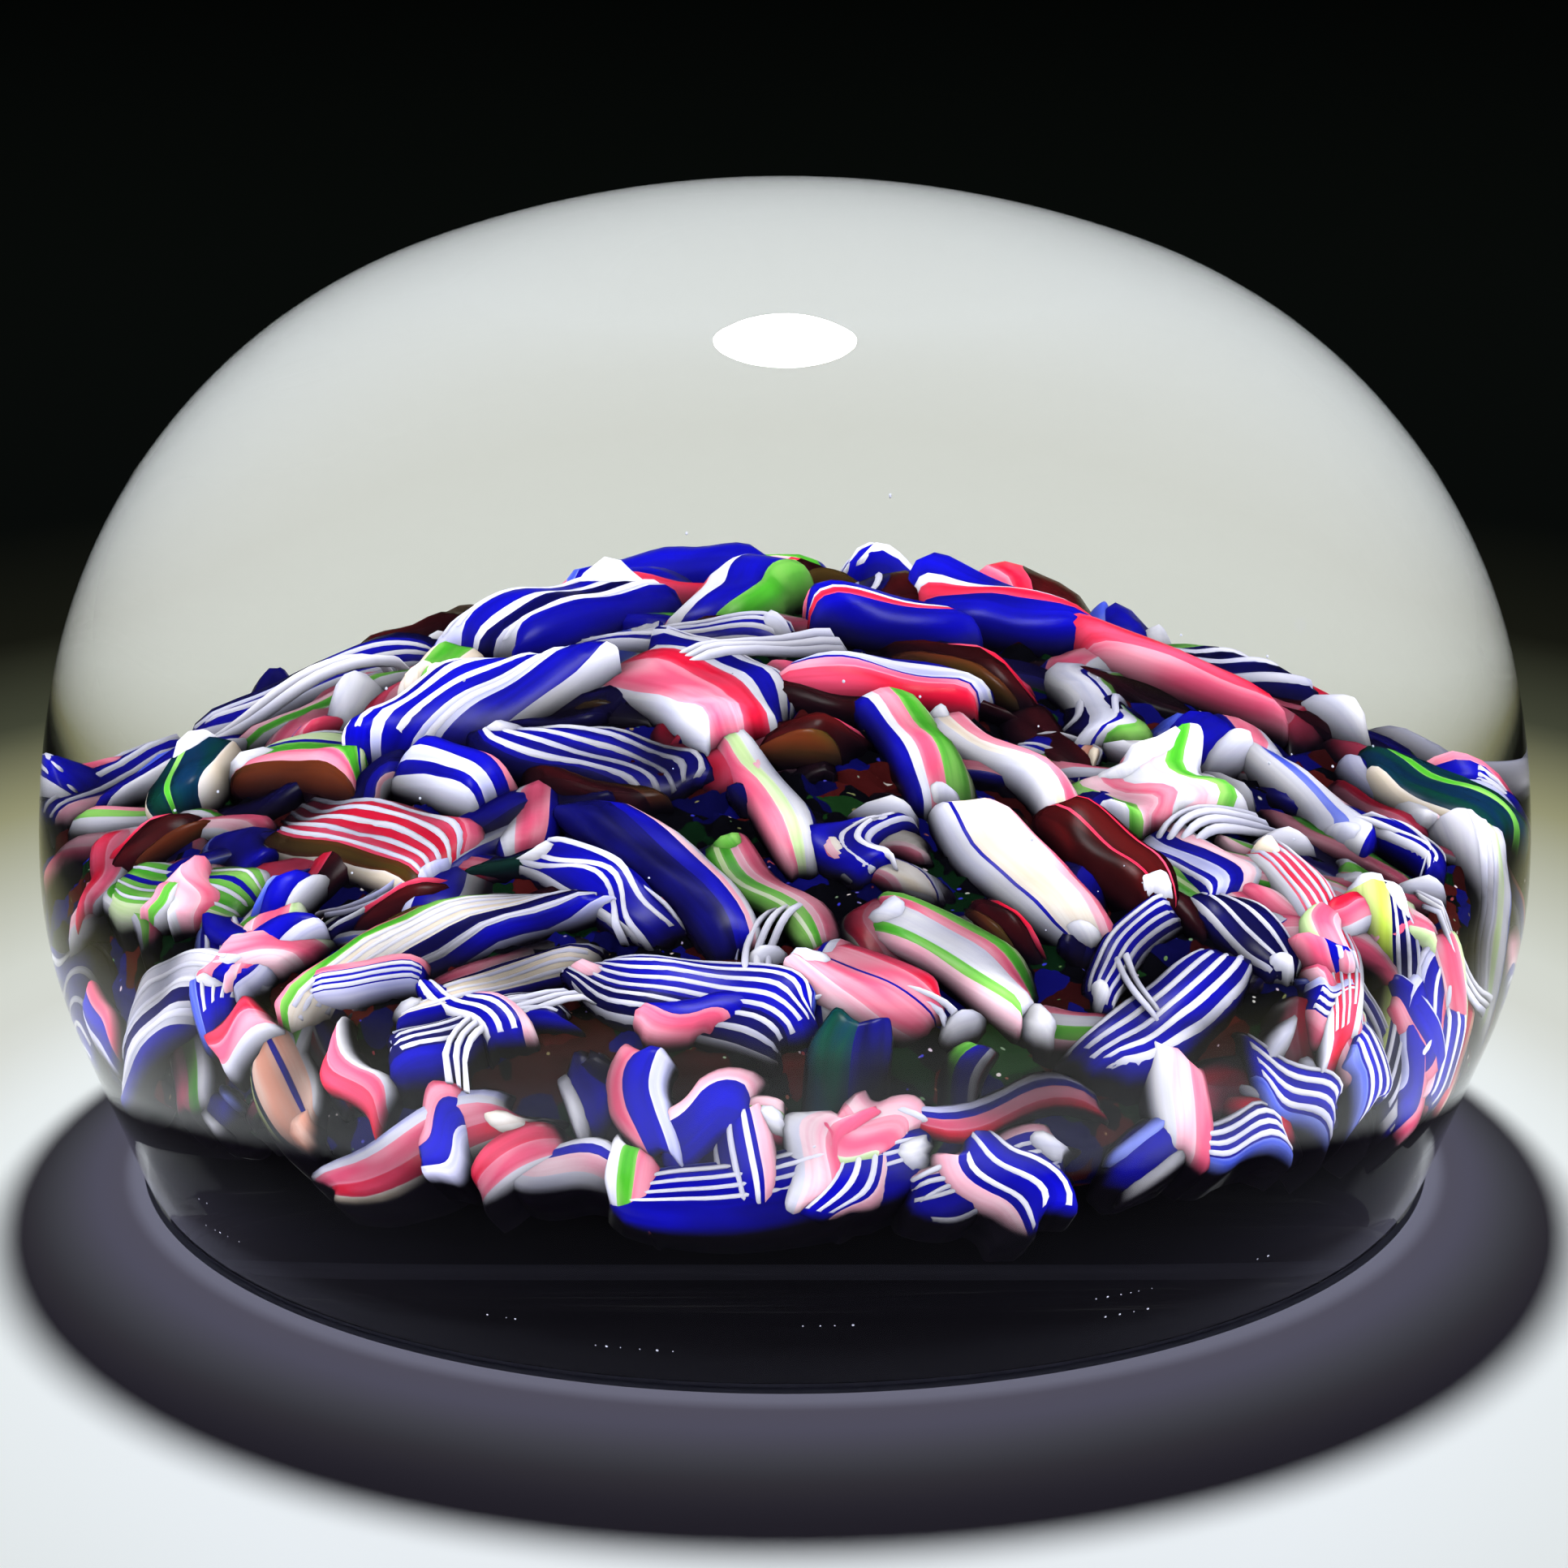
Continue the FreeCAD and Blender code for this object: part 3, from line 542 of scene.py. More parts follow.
def lump(middle, sizes):  # a rounded end or a nugget, a little dented
    bm = bmesh.new()
    made = bmesh.ops.create_icosphere(bm, subdivisions=3, radius=0.5)
    for vert in made["verts"]:
        spot = vert.co * lumpDents["across"] + middle * lumpDents["apart"]
        vert.co += vert.co * lumpDents["depth"] * noise.noise(spot)
    bmesh.ops.scale(bm, vec=sizes, verts=made["verts"])
    bmesh.ops.translate(bm, vec=middle, verts=made["verts"])
    return bm


def joinInto(whole, bm, glass, move, strips=(), wander=0.0):  # lays a strand in its place
    strand = bm.loops.layers.uv.new("strand")  # millimetres along it and around it
    level = bm.loops.layers.uv.new("level")  # how high over the seat, which sets the painted shade, and how far from the middle of its band
    shift = random.uniform(0, 50)  # a stretch of the pattern for itself
    spots = {vert: vert.co.copy() for vert in bm.verts}
    reach = [spot.y for spot in spots.values()]
    strips = strips or [(min(reach), max(reach))]
    for vert in bm.verts:
        vert.co = move(vert.co, wander)
    for face in bm.faces:
        if glass:
            face.material_index = glassNames.index(glass)
        middle = sum(spots[vert].y for vert in face.verts) / len(face.verts)
        low, high = next((strip[:2] for strip in strips if middle <= strip[1]), strips[-1][:2])
        for loop in face.loops:
            spot = spots[loop.vert]
            height = heightOver(loop.vert.co) / caneSkin["depth"]
            loop[strand].uv = (spot.x / mm + shift, (spot.y + spot.z) / mm + shift)
            loop[level].uv = (height, abs(2 * spot.y - low - high) / (high - low))
    scrap = bpy.data.meshes.new("scrap")
    bm.to_mesh(scrap)
    bm.free()
    whole.from_mesh(scrap)
    bpy.data.meshes.remove(scrap)


sag = {  # what the heat does to every cane end, as much either way unless a pair is given
    "tilt": 0.14,
    "pitch": 0.05,
    "lift": 0.15 * mm,
    "bend": 0.4,  # millimetres, as in caneLooks
    "skew": 0.7,
    "twist": 0.5,
    "taper": (0.15, 0.6),
    "sides": 0.68,  # how thick its edges are, of the middle
    "sway": (3.5 * mm, 0.25),  # spacing, and millimetres
    "torn": (1.2 * mm, 1.1 * mm),  # spacing and depth of the ragged ends
    "dents": (3 * mm, 2 * mm, 0.4 * mm),  # spacing along and across, and depth
}


def eitherWay(most):
    return random.uniform(-most, most)


def sagged(place, look, seed):  # how a straight cane ends up: pillowed, bent, waved, fanned and draped
    half, side = place["length"] / 2, place["width"] / 2
    along, away, up = place["axes"]
    tilt, pitch, lift = eitherWay(sag["tilt"]), eitherWay(sag["pitch"]), eitherWay(sag["lift"])
    bow = (eitherWay(sag["bend"]) + look.get("bow", 0.0)) * mm
    skew, twist = eitherWay(sag["skew"]), eitherWay(sag["twist"])
    taper = look.get("taper", random.uniform(*sag["taper"]))
    wave, waves = look.get("wave", 0.0) * mm, look.get("waves", 1.0)
    swaySize, sway = sag["sway"]
    sway = (sway + look.get("tangle", 0.0)) * mm
    tornSize, torn = sag["torn"]
    dentLength, dentWidth, dent = sag["dents"]

    def move(point, wander):
        x, y, z = point
        t, v = x / half, y / side
        pillow = max(0.0, 1 - abs(v) ** 4) ** 0.5 * max(0.0, 1 - abs(t) ** 8) ** 0.4
        z *= sag["sides"] + (1 - sag["sides"]) * pillow
        z += twist * y * t * abs(t)
        y *= 1 - taper * abs(t) ** 3
        y *= 1 + look.get("fan", 0.0) * t
        x += skew * y * abs(t)
        y += bow * (0.5 - t * t)
        y += wave * math.sin(math.pi * t * waves)
        y += noise.noise(Vector((x / swaySize, seed, wander))) * sway
        x += noise.noise(Vector((y / tornSize, seed + 3, 0))) * torn * abs(t) ** 3
        z += noise.noise(Vector((x / dentLength, y / dentWidth, seed + 7))) * dent
        z += tilt * y + pitch * x + lift - (x * x + y * y) / (2 * seat["crownRadius"])
        return place["origin"] + along * x + away * y + up * z

    return move


caneShape = {  # shares are of the cane's own width or thickness
    "thread": 0.18,  # millimetres, where caneLooks gives no other
    "pulled": 0.85,  # what the pull leaves of that
    "threadRoom": 0.27,  # a thread's radius is at most this share of its room
    "threadSunk": 0.6,  # of its radius
    "threadLength": (0.86, 1.0),
    "threadSteps": 18,
    "stray": 3,  # how differently the threads of a tangle run
    "knobs": 0.4,  # how often a cane has a melted end that caneLooks doesn't name
    "knobGlasses": ("white", "white", "milk", "cream"),
    "knobIn": 0.5 * mm,
    "knobAside": 0.12,
    "knobUp": 0.52,
    "knobSizes": (2.9 * mm, 0.82, 1.16),
}


def layCane(whole, part, look, seed, number, shape):
    place = seatOf(part)
    length = place["length"] = place["length"] * seat["spread"]
    width = place["width"] = place["width"] * seat["spreadAcross"]
    thick = place["thick"] = place["thick"] * seat["rise"]
    move = sagged(place, look, seed)
    recipes = look["bands"].split(" | ")
    body, strips = bar(readBands(recipes[number % len(recipes)]), width, length, thick, barLook)
    joinInto(whole, body, None, move, strips)
    most = look.get("thread", shape["thread"]) * shape["pulled"] * mm
    for line, middle, radius in threadLines(strips, most, shape["threadRoom"]):
        run, high = length * random.uniform(*shape["threadLength"]), thick - radius * shape["threadSunk"]
        wander = line * look.get("tangle", 0.0) * shape["stray"]
        string = thread(middle, radius, run, high, shape["threadSteps"])
        joinInto(whole, string, "thread", move, wander=wander)
    ends = {"left": look.get("left"), "right": look.get("right")}
    if not any(ends.values()) and random.random() < look.get("knobs", shape["knobs"]):
        ends[random.choice(("left", "right"))] = random.choice(shape["knobGlasses"])
    knobLength, knobWidth, knobThick = shape["knobSizes"]
    for end, sign in (("left", -1), ("right", 1)):
        if ends[end]:
            aside = eitherWay(shape["knobAside"]) * width
            middle = Vector((sign * (length / 2 - shape["knobIn"]), aside, thick * shape["knobUp"]))
            wide = width * (1 + sign * look.get("fan", 0.0)) * knobWidth
            joinInto(whole, lump(middle, (knobLength, wide, thick * knobThick)), ends[end], move)


nuggetShape = {
    "spread": 1.25,
    "ease": 1.2,  # it keeps clear of the ragged ends
    "middle": 0.5,
    "sizes": (1, 1, 1.02),
    "skinMiddle": 0.66,
    "skinSizes": (0.8, 0.35, 0.7),
}


def layNugget(whole, part, look, seed, shape):  # a broken piece without strands
    place = seatOf(part)
    length, width = place["length"] * shape["spread"], place["width"] * shape["spread"]
    thick = place["thick"] * seat["rise"]
    eased = {"length": length * shape["ease"], "width": width * shape["ease"]}
    move = sagged({**place, **eased}, {"taper": 0.0}, seed)
    lumps = [(look["nugget"], 0.0, shape["middle"], shape["sizes"])]
    for glass, across in look.get("skins", ()):
        lumps.append((glass, across, shape["skinMiddle"], shape["skinSizes"]))
    for glass, across, high, (long, wide, tall) in lumps:
        middle = Vector((0, across * width, thick * high))
        joinInto(whole, lump(middle, (length * long, width * wide, thick * tall)), glass, move)


# each node's canes. "bands" run from the near side to the far side: glass, share of the width, and how many
# threads lie on it; a bar parts the recipes that a node's pieces take in turn. "left" and "right" name the
# glass of a melted end. In millimetres, "bow" and "wave" are how far the cane is bent and snaked, "tangle" is
# how far its threads stray and "thread" their radius. "waves" is how often it snakes, "fan" how much wider it
# is at the right, "knobs" how often it has an end that isn't named, and "skins" the glasses on a nugget
caneLooks = {
    "white_slab": {
        "slot": "opal_white", "right": "white", "bow": 0.4,
        "bands": "cobalt 0.5, milk 0.25 x1, ink 0.3, white 0.2, cobalt 0.4, lilac 0.4 x2, sky 0.2, white 0.2",
    },
    "blue_line_slab": {
        "slot": "filigree", "bow": 0.5,
        "bands": "white 0.2, cobalt 0.6, lilac 0.3 x1, cobalt 0.5 x1, lilac 0.2, cobalt 0.5 x1, white 0.15",
    },
    "green_block": {"slot": "leaf_green", "left": "cream", "bands": "cream 0.5, green 1, cream 0.4"},
    "six_thread_cane": {
        "slot": "cobalt", "wave": 0.7, "thread": 0.22, "left": "milk",
        "bands": "ink 0.3, cobalt 1.6 x5, ink 0.2",
    },
    "pink_curl": {
        "slot": "rose_pink", "bow": 1.2,
        "bands": "white 0.3, pink 1.3, red 0.8, white 0.3, cobalt 0.5, white 0.25, cobalt 0.5 x2",
    },
    "fan_ribbon": {
        "slot": "rose_pink", "left": "white", "bow": 0.5, "fan": 0.2,
        "bands": "pink 0.7, pale 0.6, white 0.7, cobalt 0.4",
    },
    "dark_petal": {
        "slot": "dark_cobalt", "bow": 0.7,
        "bands": "ink 1.2, cobalt 0.5, rose 0.2, white 0.25, sky 0.12",
    },
    "green_leaf": {
        "slot": "leaf_green", "wave": 0.4, "left": "green",
        "bands": "green 0.6, pale 0.2, green 0.4, rose 0.3, pink 0.9",
    },
    "pink_petal": {
        "slot": "rose_pink", "left": "white", "bow": 0.4,
        "bands": "rose 0.5, pink 0.9, cobalt 0.08, pink 0.6, red 0.6",
    },
    "tangled_threads": {
        "slot": "filigree", "tangle": 0.8, "left": "white", "thread": 0.2,
        "bands": "cobalt 1 x5",
    },
    "long_thread_cane": {
        "slot": "filigree", "bow": 0.6,
        "bands": "lilac 0.2, cobalt 0.5, milk 0.25 x1, ink 0.4, cream 1.1 x4, green 0.35, pink 0.35",
    },
    "low_thread_cane": {
        "slot": "filigree", "left": "white", "wave": 0.4,
        "bands": "cobalt 0.3, cream 0.9 x3, ink 0.15, milk 0.3",
    },
    "cobalt_fan_cane": {
        "slot": "cobalt", "left": "rose", "fan": 0.25, "wave": 0.6, "thread": 0.2,
        "bands": "ink 0.8 x3, cobalt 1.2 x5, sky 0.1",
    },
    "pink_leaf": {"slot": "rose_pink", "bands": "cobalt 0.3, pink 0.8, white 0.4, cobalt 0.25"},
    "white_blue_slab": {
        "slot": "opal_white", "bow": 0.3,
        "bands": "white 0.3, cobalt 0.3, lilac 0.4, cobalt 0.4, pink 0.3",
    },
    "red_thread_cane": {
        "slot": "hot_red", "right": "lilac", "wave": 0.5, "thread": 0.24,
        "bands": "cream 0.25, olive 0.35, red 1.5 x5, pink 0.4",
    },
    "long_striped_ribbon": {
        "slot": "lavender", "bow": 0.3,
        "bands": "red 0.5, pink 0.3, cobalt 0.12, lilac 0.4, white 0.2, cobalt 0.5",
    },
    "green_bow": {
        "slot": "leaf_green", "wave": 0.8,
        "bands": "green 0.5, white 0.3, cobalt 0.15, milk 0.6, white 0.3",
    },
    "green_pink_bow": {
        "slot": "leaf_green", "right": "white", "bow": 0.9,
        "bands": "cobalt 0.3, white 0.25, pink 0.5, green 0.6, pale 0.3",
    },
    "cream_bow": {
        "slot": "cream", "left": "white", "wave": 0.8,
        "bands": "white 0.5, cream 0.4, pink 0.4, rose 0.4",
    },
    "cream_slab": {
        "slot": "cream", "right": "white",
        "bands": "white 0.5, cobalt 0.1, cream 1.1, rose 0.3, pink 0.4",
    },
    "ruby_slab": {"slot": "ruby", "bands": "ruby 1, red 0.1, ruby 0.8, red 0.1, ruby 0.6"},
    "white_petal": {
        "slot": "opal_white", "left": "white", "bow": 0.3,
        "bands": "rose 0.3, green 0.35, white 0.8, pink 0.35, green 0.35, pale 0.3",
    },
    "wavy_bow": {
        "slot": "rose_pink", "wave": 0.7, "waves": 1.4,
        "bands": "white 0.4, green 0.3, rose 0.35, pink 0.35, white 0.3, rose 0.4, green 0.3, white 0.3",
    },
    "red_band": {"slot": "hot_red", "bands": "pink 0.5, red 1.2, rose 0.3"},
    "blue_thread_cane": {
        "slot": "cobalt", "wave": 0.6,
        "bands": "cobalt 0.5 x1, lilac 0.4, cobalt 0.4, rose 0.4, white 0.4",
    },
    "fan_thread_cane": {"slot": "filigree", "bow": 0.8, "left": "white", "bands": "cobalt 1.4 x5, ink 0.2"},
    "hooked_thread_cane": {"slot": "filigree", "right": "white", "bow": 0.7, "bands": "ink 1 x4"},
    "far_blue_ribbons": {
        "knobs": 0.1, "slot": "cobalt",
        "bands": "cobalt 0.8, red 0.3, white 0.15, cobalt 0.8, pink 0.25",
    },
    "green_thread_cane": {
        "slot": "leaf_green", "wave": 0.5,
        "bands": "pale 0.4, green 0.7 x2, cobalt 0.12, green 0.5 x1, white 0.35",
    },
    "white_arch": {
        "slot": "opal_white", "right": "white", "bow": 1.4,
        "bands": "cobalt 0.25, milk 0.3 x1, ink 0.25, milk 0.9 x3",
    },
    "looped_petal": {
        "slot": "leaf_green", "bow": 0.9,
        "bands": "olive 0.3, pink 0.4, green 0.5, cobalt 0.12, pale 0.3, green 0.4 x1",
    },
    "peach_slab": {
        "slot": "peach", "right": "peach",
        "bands": "lime 0.25, teal 0.15, peach 1, cobalt 0.2, peach 0.5, white 0.3",
    },
    "pink_red_slab": {
        "slot": "rose_pink", "right": "cream", "wave": 0.4,
        "bands": "cream 0.4, red 0.6, pink 0.8, white 0.3, lilac 0.4",
    },
    "white_thread_cane": {"slot": "filigree", "wave": 0.5, "bands": "cobalt 0.3, ink 0.9 x4"},
    "white_pink_slab": {
        "slot": "opal_white", "wave": 0.4,
        "bands": "white 0.5, rose 0.5, cobalt 0.25, white 0.3",
    },
    "pink_green_slab": {
        "slot": "rose_pink", "right": "white", "left": "cobalt",
        "bands": "pink 0.4, white 0.35, green 0.35, rose 0.4",
    },
    "cobalt_arc_cane": {
        "slot": "cobalt", "right": "white", "bow": -0.9, "thread": 0.2,
        "bands": "cobalt 0.8, cobalt 1 x4, sky 0.12",
    },
    "red_bow": {
        "slot": "hot_red", "left": "white", "wave": 0.8,
        "bands": "red 0.4, pink 0.4, cobalt 0.25, lilac 0.4",
    },
    "cobalt_thread_cane": {"slot": "cobalt", "bow": -1, "thread": 0.26, "bands": "cobalt 1 x5"},
    "rim_thread_cane": {"slot": "cobalt", "tangle": 1, "thread": 0.2, "bands": "cobalt 1 x5, rose 0.25"},
    "ruby_rim_shard": {"slot": "ruby", "nugget": "red", "skins": [("thread", 0.3), ("ruby", -0.3)]},
    "red_stripe_cane": {
        "slot": "hot_red", "bow": 0.8, "thread": 0.2,
        "bands": "white 0.3, red 1 x4, white 0.3",
    },
    "grey_stripe_cane": {
        "slot": "filigree", "bow": 0.8,
        "bands": "lime 0.3, ink 0.8 x3, milk 0.3, cobalt 0.3 x1",
    },
    "lime_slab": {"slot": "lime", "bands": "lime 1, cream 0.4"},
    "red_sliver": {"slot": "hot_red", "bands": "red 1, peach 0.4"},
    "teal_ribbons": {"slot": "teal", "bands": "cream 0.2, teal 1, green 0.2, teal 0.6, cream 0.2"},
    "grey_ribbon": {"slot": "grey", "bow": 0.4, "bands": "milk 0.7 x2, pale 0.3, white 0.4, sky 0.3"},
    "white_blue_bow": {
        "slot": "opal_white", "wave": 0.7,
        "bands": "white 0.6, sky 0.3, white 0.5, cobalt 0.2",
    },
    "white_rods": {"slot": "opal_white", "nugget": "white"},
    "ruby_shards": {"slot": "ruby", "nugget": "ruby", "skins": [("red", 0.22), ("olive", -0.3)]},
    "cobalt_shards": {"slot": "cobalt", "nugget": "cobalt", "skins": [("white", -0.3), ("sky", 0.25)]},
    "curled_threads": {
        "slot": "filigree", "tangle": 0.7, "bow": 1.2, "thread": 0.17,
        "bands": "cobalt 1 x4",
    },
    "back_white_ribbons": {
        "knobs": 0.1, "slot": "opal_white", "wave": 0.4,
        "bands": "cobalt 0.8 x2, white 0.4, ink 0.4 | white 0.4, cobalt 0.5, rose 0.3, cobalt 0.5 x2 | "
        "green 0.4, cobalt 0.6, white 0.3, red 0.3 | milk 0.3, ink 0.8 x3",
    },
    "back_pink_ribbons": {
        "knobs": 0.1, "slot": "rose_pink", "bow": 0.5,
        "bands": "red 0.5, pink 0.5, white 0.3, cobalt 0.4 | cobalt 0.9, sky 0.2, pink 0.4 | "
        "rose 0.4, green 0.4, cobalt 0.5 | ruby 0.8, red 0.4, pink 0.3 | teal 0.7, green 0.3, cobalt 0.3",
    },
    "back_thread_canes": {
        "knobs": 0.1, "slot": "filigree", "wave": 0.6,
        "bands": "cobalt 1 x5 | ink 1.2 x4 | cobalt 0.8 x3, ink 0.4 | ruby 0.6, ink 0.6 x2",
    },
    "back_petals": {
        "knobs": 0.1, "slot": "leaf_green", "bow": 0.5,
        "bands": "green 0.6, pale 0.3, pink 0.6, cobalt 0.3 | cobalt 0.8, white 0.2, red 0.4 | "
        "ink 0.6 x3, green 0.3",
    },
    "back_bows": {
        "knobs": 0.1, "slot": "lavender", "bow": 0.9,
        "bands": "lilac 0.3, cobalt 0.7, white 0.3, pink 0.3 | red 0.5, cobalt 0.6, green 0.3 | "
        "cobalt 0.6 x2, rose 0.4",
    },
}


nodeStep, caneStep = 3.7, 1.3  # how far apart in the noise two nodes are, and two canes of one node


def makeCanes():
    for order, (node, look) in enumerate(caneLooks.items()):
        whole = bmesh.new()
        for number, part in enumerate(looseParts(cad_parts[node].data)):
            seed = order * nodeStep + number * caneStep
            if "nugget" in look:
                layNugget(whole, part, look, seed, nuggetShape)
            else:
                layCane(whole, part, look, seed, number, caneShape)
        finishPiece(whole, node + "_glass", glasses, look["slot"], [node])


makeCanes()
print("canes laid:", len(caneLooks), "nodes")


# what fills the gaps: crushed dark glass, level with the lower half of the canes
groundLook = {
    "depth": 2.3 * mm,
    "reach": 5.2 * mm,
    "shell": (2.4 * mm, 0.48 * mm),  # how far it goes in below the canes, and down
    "rings": (45, 22),  # on the crown, and down the steeper side
    "turns": 240,
    "lumps": (1.1 * mm, 0.66 * mm),  # spacing and height
}
groundSkin = {
    "warp": (2.5 * mm, 1.6 * mm),  # spacing and reach of what bends the edges of the bits
    "bit": 1.6 * mm,
    "bits": [
        (0.0, "#050508"), (0.24, "#200809"), (0.38, "#06062A"), (0.5, "#06160A"),
        (0.62, "#050508"), (0.76, "#080842"), (0.88, "#300C0C"), (0.96, "#0E260F"),
    ],
    "crumb": 0.42 * mm,
    "crumbRange": {"From Min": 0.24, "From Max": 0.16},
    "crumbsFrom": 0.72,  # only cells over this have a crumb
    "crumbsAndGlints": [(0.0, "#7A2A34"), (0.35, "#3C6A3C"), (0.6, "#B8A8A8"), (0.8, "#2A2A8C")],
    "gloss": {"Roughness": 0.4, "Specular IOR Level": 0.0},
}


# crushed cane offcuts run together: dark bits of ruby, bottle green and cobalt, with brighter crumbs that are
# partly crumbs of glass and partly painted glints
def crushedGlass(look):
    material, tree = newMaterial("crushedCaneOffcutsFused")
    place = addNode(tree, "TexCoord")
    warpSize, warpReach = look["warp"]
    warp = addNode(tree, "TexNoise", {"Scale": 1 / warpSize, "Detail": 2.0}, {
        "Vector": place.outputs["Object"],
    })
    shift = addNode(tree, "VectorMath", {1: (warpReach, warpReach, warpReach)}, {
        0: warp.outputs["Color"], 2: place.outputs["Object"],
    }, operation="MULTIPLY_ADD")
    cells = addNode(tree, "TexVoronoi", {"Scale": 1 / look["bit"]}, {"Vector": shift})
    split = addNode(tree, "SeparateColor", links={"Color": cells.outputs["Color"]})
    bits = addNode(tree, "ValToRGB", links={"Fac": split})
    bits.color_ramp.interpolation = "CONSTANT"
    setRamp(bits, look["bits"])
    grains = addNode(tree, "TexVoronoi", {"Scale": 1 / look["crumb"]}, {"Vector": shift})
    near = addNode(tree, "MapRange", look["crumbRange"], {"Value": grains.outputs["Distance"]})
    tint = addNode(tree, "SeparateColor", links={"Color": grains.outputs["Color"]})
    chosen = addNode(tree, "Math", {1: look["crumbsFrom"]}, {0: tint.outputs[1]}, operation="GREATER_THAN")
    # the brighter specks: partly crumbs of glass, partly painted glints
    speck = addNode(tree, "Math", links={0: near, 1: chosen}, operation="MULTIPLY")
    crumbsAndGlints = addNode(tree, "ValToRGB", links={"Fac": tint})
    setRamp(crumbsAndGlints, look["crumbsAndGlints"])
    colour = addNode(tree, "Mix", links={"Factor": speck, mixA: bits, mixB: crumbsAndGlints}, data_type="RGBA")
    glass = addNode(tree, "BsdfPrincipled", look["gloss"], {"Base Color": colour.outputs[mixResult]})
    addNode(tree, "OutputMaterial", links={"Surface": glass})
    return material


def makeGround(look):
    bm = bmesh.new()
    crownRings, sideRings = look["rings"]
    last = bm.verts.new((0, 0, crownCentre.z + seat["crownRadius"] + look["depth"]))
    last = arcFrom(bm, last, (0, crownCentre.z), creaseTurn, crownRings)
    downhill = leaning(Vector((1, 0, 0)), slopeTurn + math.pi / 2)
    for step in range(sideRings):
        spot = last.co + downhill * look["reach"] / sideRings
        last = lineFrom(bm, last, (spot.x, spot.z))
    inward, down = look["shell"]
    bottom = last.co.z - down  # flat below: nothing shows through from under it, and its dark underside is a painted shade below the canes
    last = lineFrom(bm, last, (last.co.x - inward, bottom))
    lineFrom(bm, last, (0, bottom))
    turnProfile(bm, look["turns"])
    bm.normal_update()
    spacing, height = look["lumps"]
    for vert in bm.verts:
        vert.co += vert.normal * height * noise.turbulence(vert.co / spacing, 2, True)
    return finishPiece(bm, "fused_offcuts", [crushedGlass(groundSkin)], "dark_cobalt")


makeGround(groundLook)


# broken bits of the same canes, pushed down between the whole ones
offcutLook = {
    "chips": 140,
    "chipReach": 25.4 * mm,
    "thick": 2.8 * mm,
    "rimChips": 38,
    "rimReach": (20.8 * mm, 27.4 * mm),
    "rimCompass": (-3.0, -0.1),  # radians, over the front
    "rimThick": 3.4 * mm,
    "rimLength": 0.7,
    "length": (4 * mm, 8 * mm),
    "width": (1.8 * mm, 3.8 * mm),
    "above": 0.1 * mm,
    "noiseStep": 0.9,  # how far apart in the noise two bits are
    "taper": (0.1, 0.5),
    "bow": (-0.6, 0.6),
    "wave": (0, 0.6),
    "thread": 0.15 * mm,
    "threadRoom": 0.3,
    "threadSunk": 0.4,
    "threadLength": 0.9,
    "threadSteps": 10,
    "more": ["pink 0.6, red 0.5, white 0.2", "red 0.8, rose 0.3", "rose 0.5, pink 0.6, cobalt 0.3"] * 2,
    "dark": [
        "ruby 1", "teal 0.6, ink 0.6", "ink 1 x2", "ruby 0.6, olive 0.5", "ink 1", "cobalt 0.7, ink 0.6",
    ],
    "darkEvery": 3,
    "darkReach": 17 * mm,  # further aside than this, and at the rim, the bits are pale
    "pale": [
        "white 0.3, rose 0.4, pink 0.5", "lilac 0.3 x1, cobalt 0.5 x1, pink 0.4",
        "rose 0.4, pink 0.6, pale 0.3", "pink 0.5, cobalt 0.6 x3, lilac 0.3", "red 0.5, pink 0.4, white 0.2",
        "pink 0.5, green 0.3, white 0.3", "cobalt 0.9 x4, sky 0.2", "cobalt 0.9 x3, rose 0.3",
    ],
}
looseThreadLook = {
    "bundles": 9,
    "threads": (2, 3, 4),
    "reach": 24 * mm,
    "spacing": 0.45 * mm,
    "above": 0.3 * mm,
    "bow": (-2.6, 2.6),
    "tangle": 0.15,
    "noiseFrom": 40,
    "noiseStep": 0.7,
    "steps": 12,
    "glasses": ("thread", "thread", "white", "lilac"),
}


def seatPoint(reach, compass):  # a place on the seat, by the way over the glass from the crown's middle
    out = Vector((math.cos(compass), math.sin(compass), 0))
    up = leaning(out, min(reach / seat["crownRadius"], creaseTurn))
    spot = crownCentre + up * seat["crownRadius"]
    past = reach - creaseTurn * seat["crownRadius"]
    if past > 0:
        spot += leaning(out, slopeTurn + math.pi / 2) * past
        up = leaning(out, slopeTurn)
    return spot, up


def scattered(reach, inner=0.001):  # the way from the middle and the compass of a place, evenly over a disc
    return math.sqrt(random.uniform(inner, 1)) * reach, random.uniform(0, 2 * math.pi)


def looseSeat(look, reach, compass):
    spot, up = seatPoint(reach, compass)
    along = up.orthogonal().normalized()
    along.rotate(Matrix.Rotation(random.uniform(0, 2 * math.pi), 3, up))
    length, width = random.uniform(*look["length"]), random.uniform(*look["width"])
    return {
        "origin": spot + up * look["above"], "axes": (along, up.cross(along), up),
        "length": length, "width": width, "thick": look["thick"],
    }


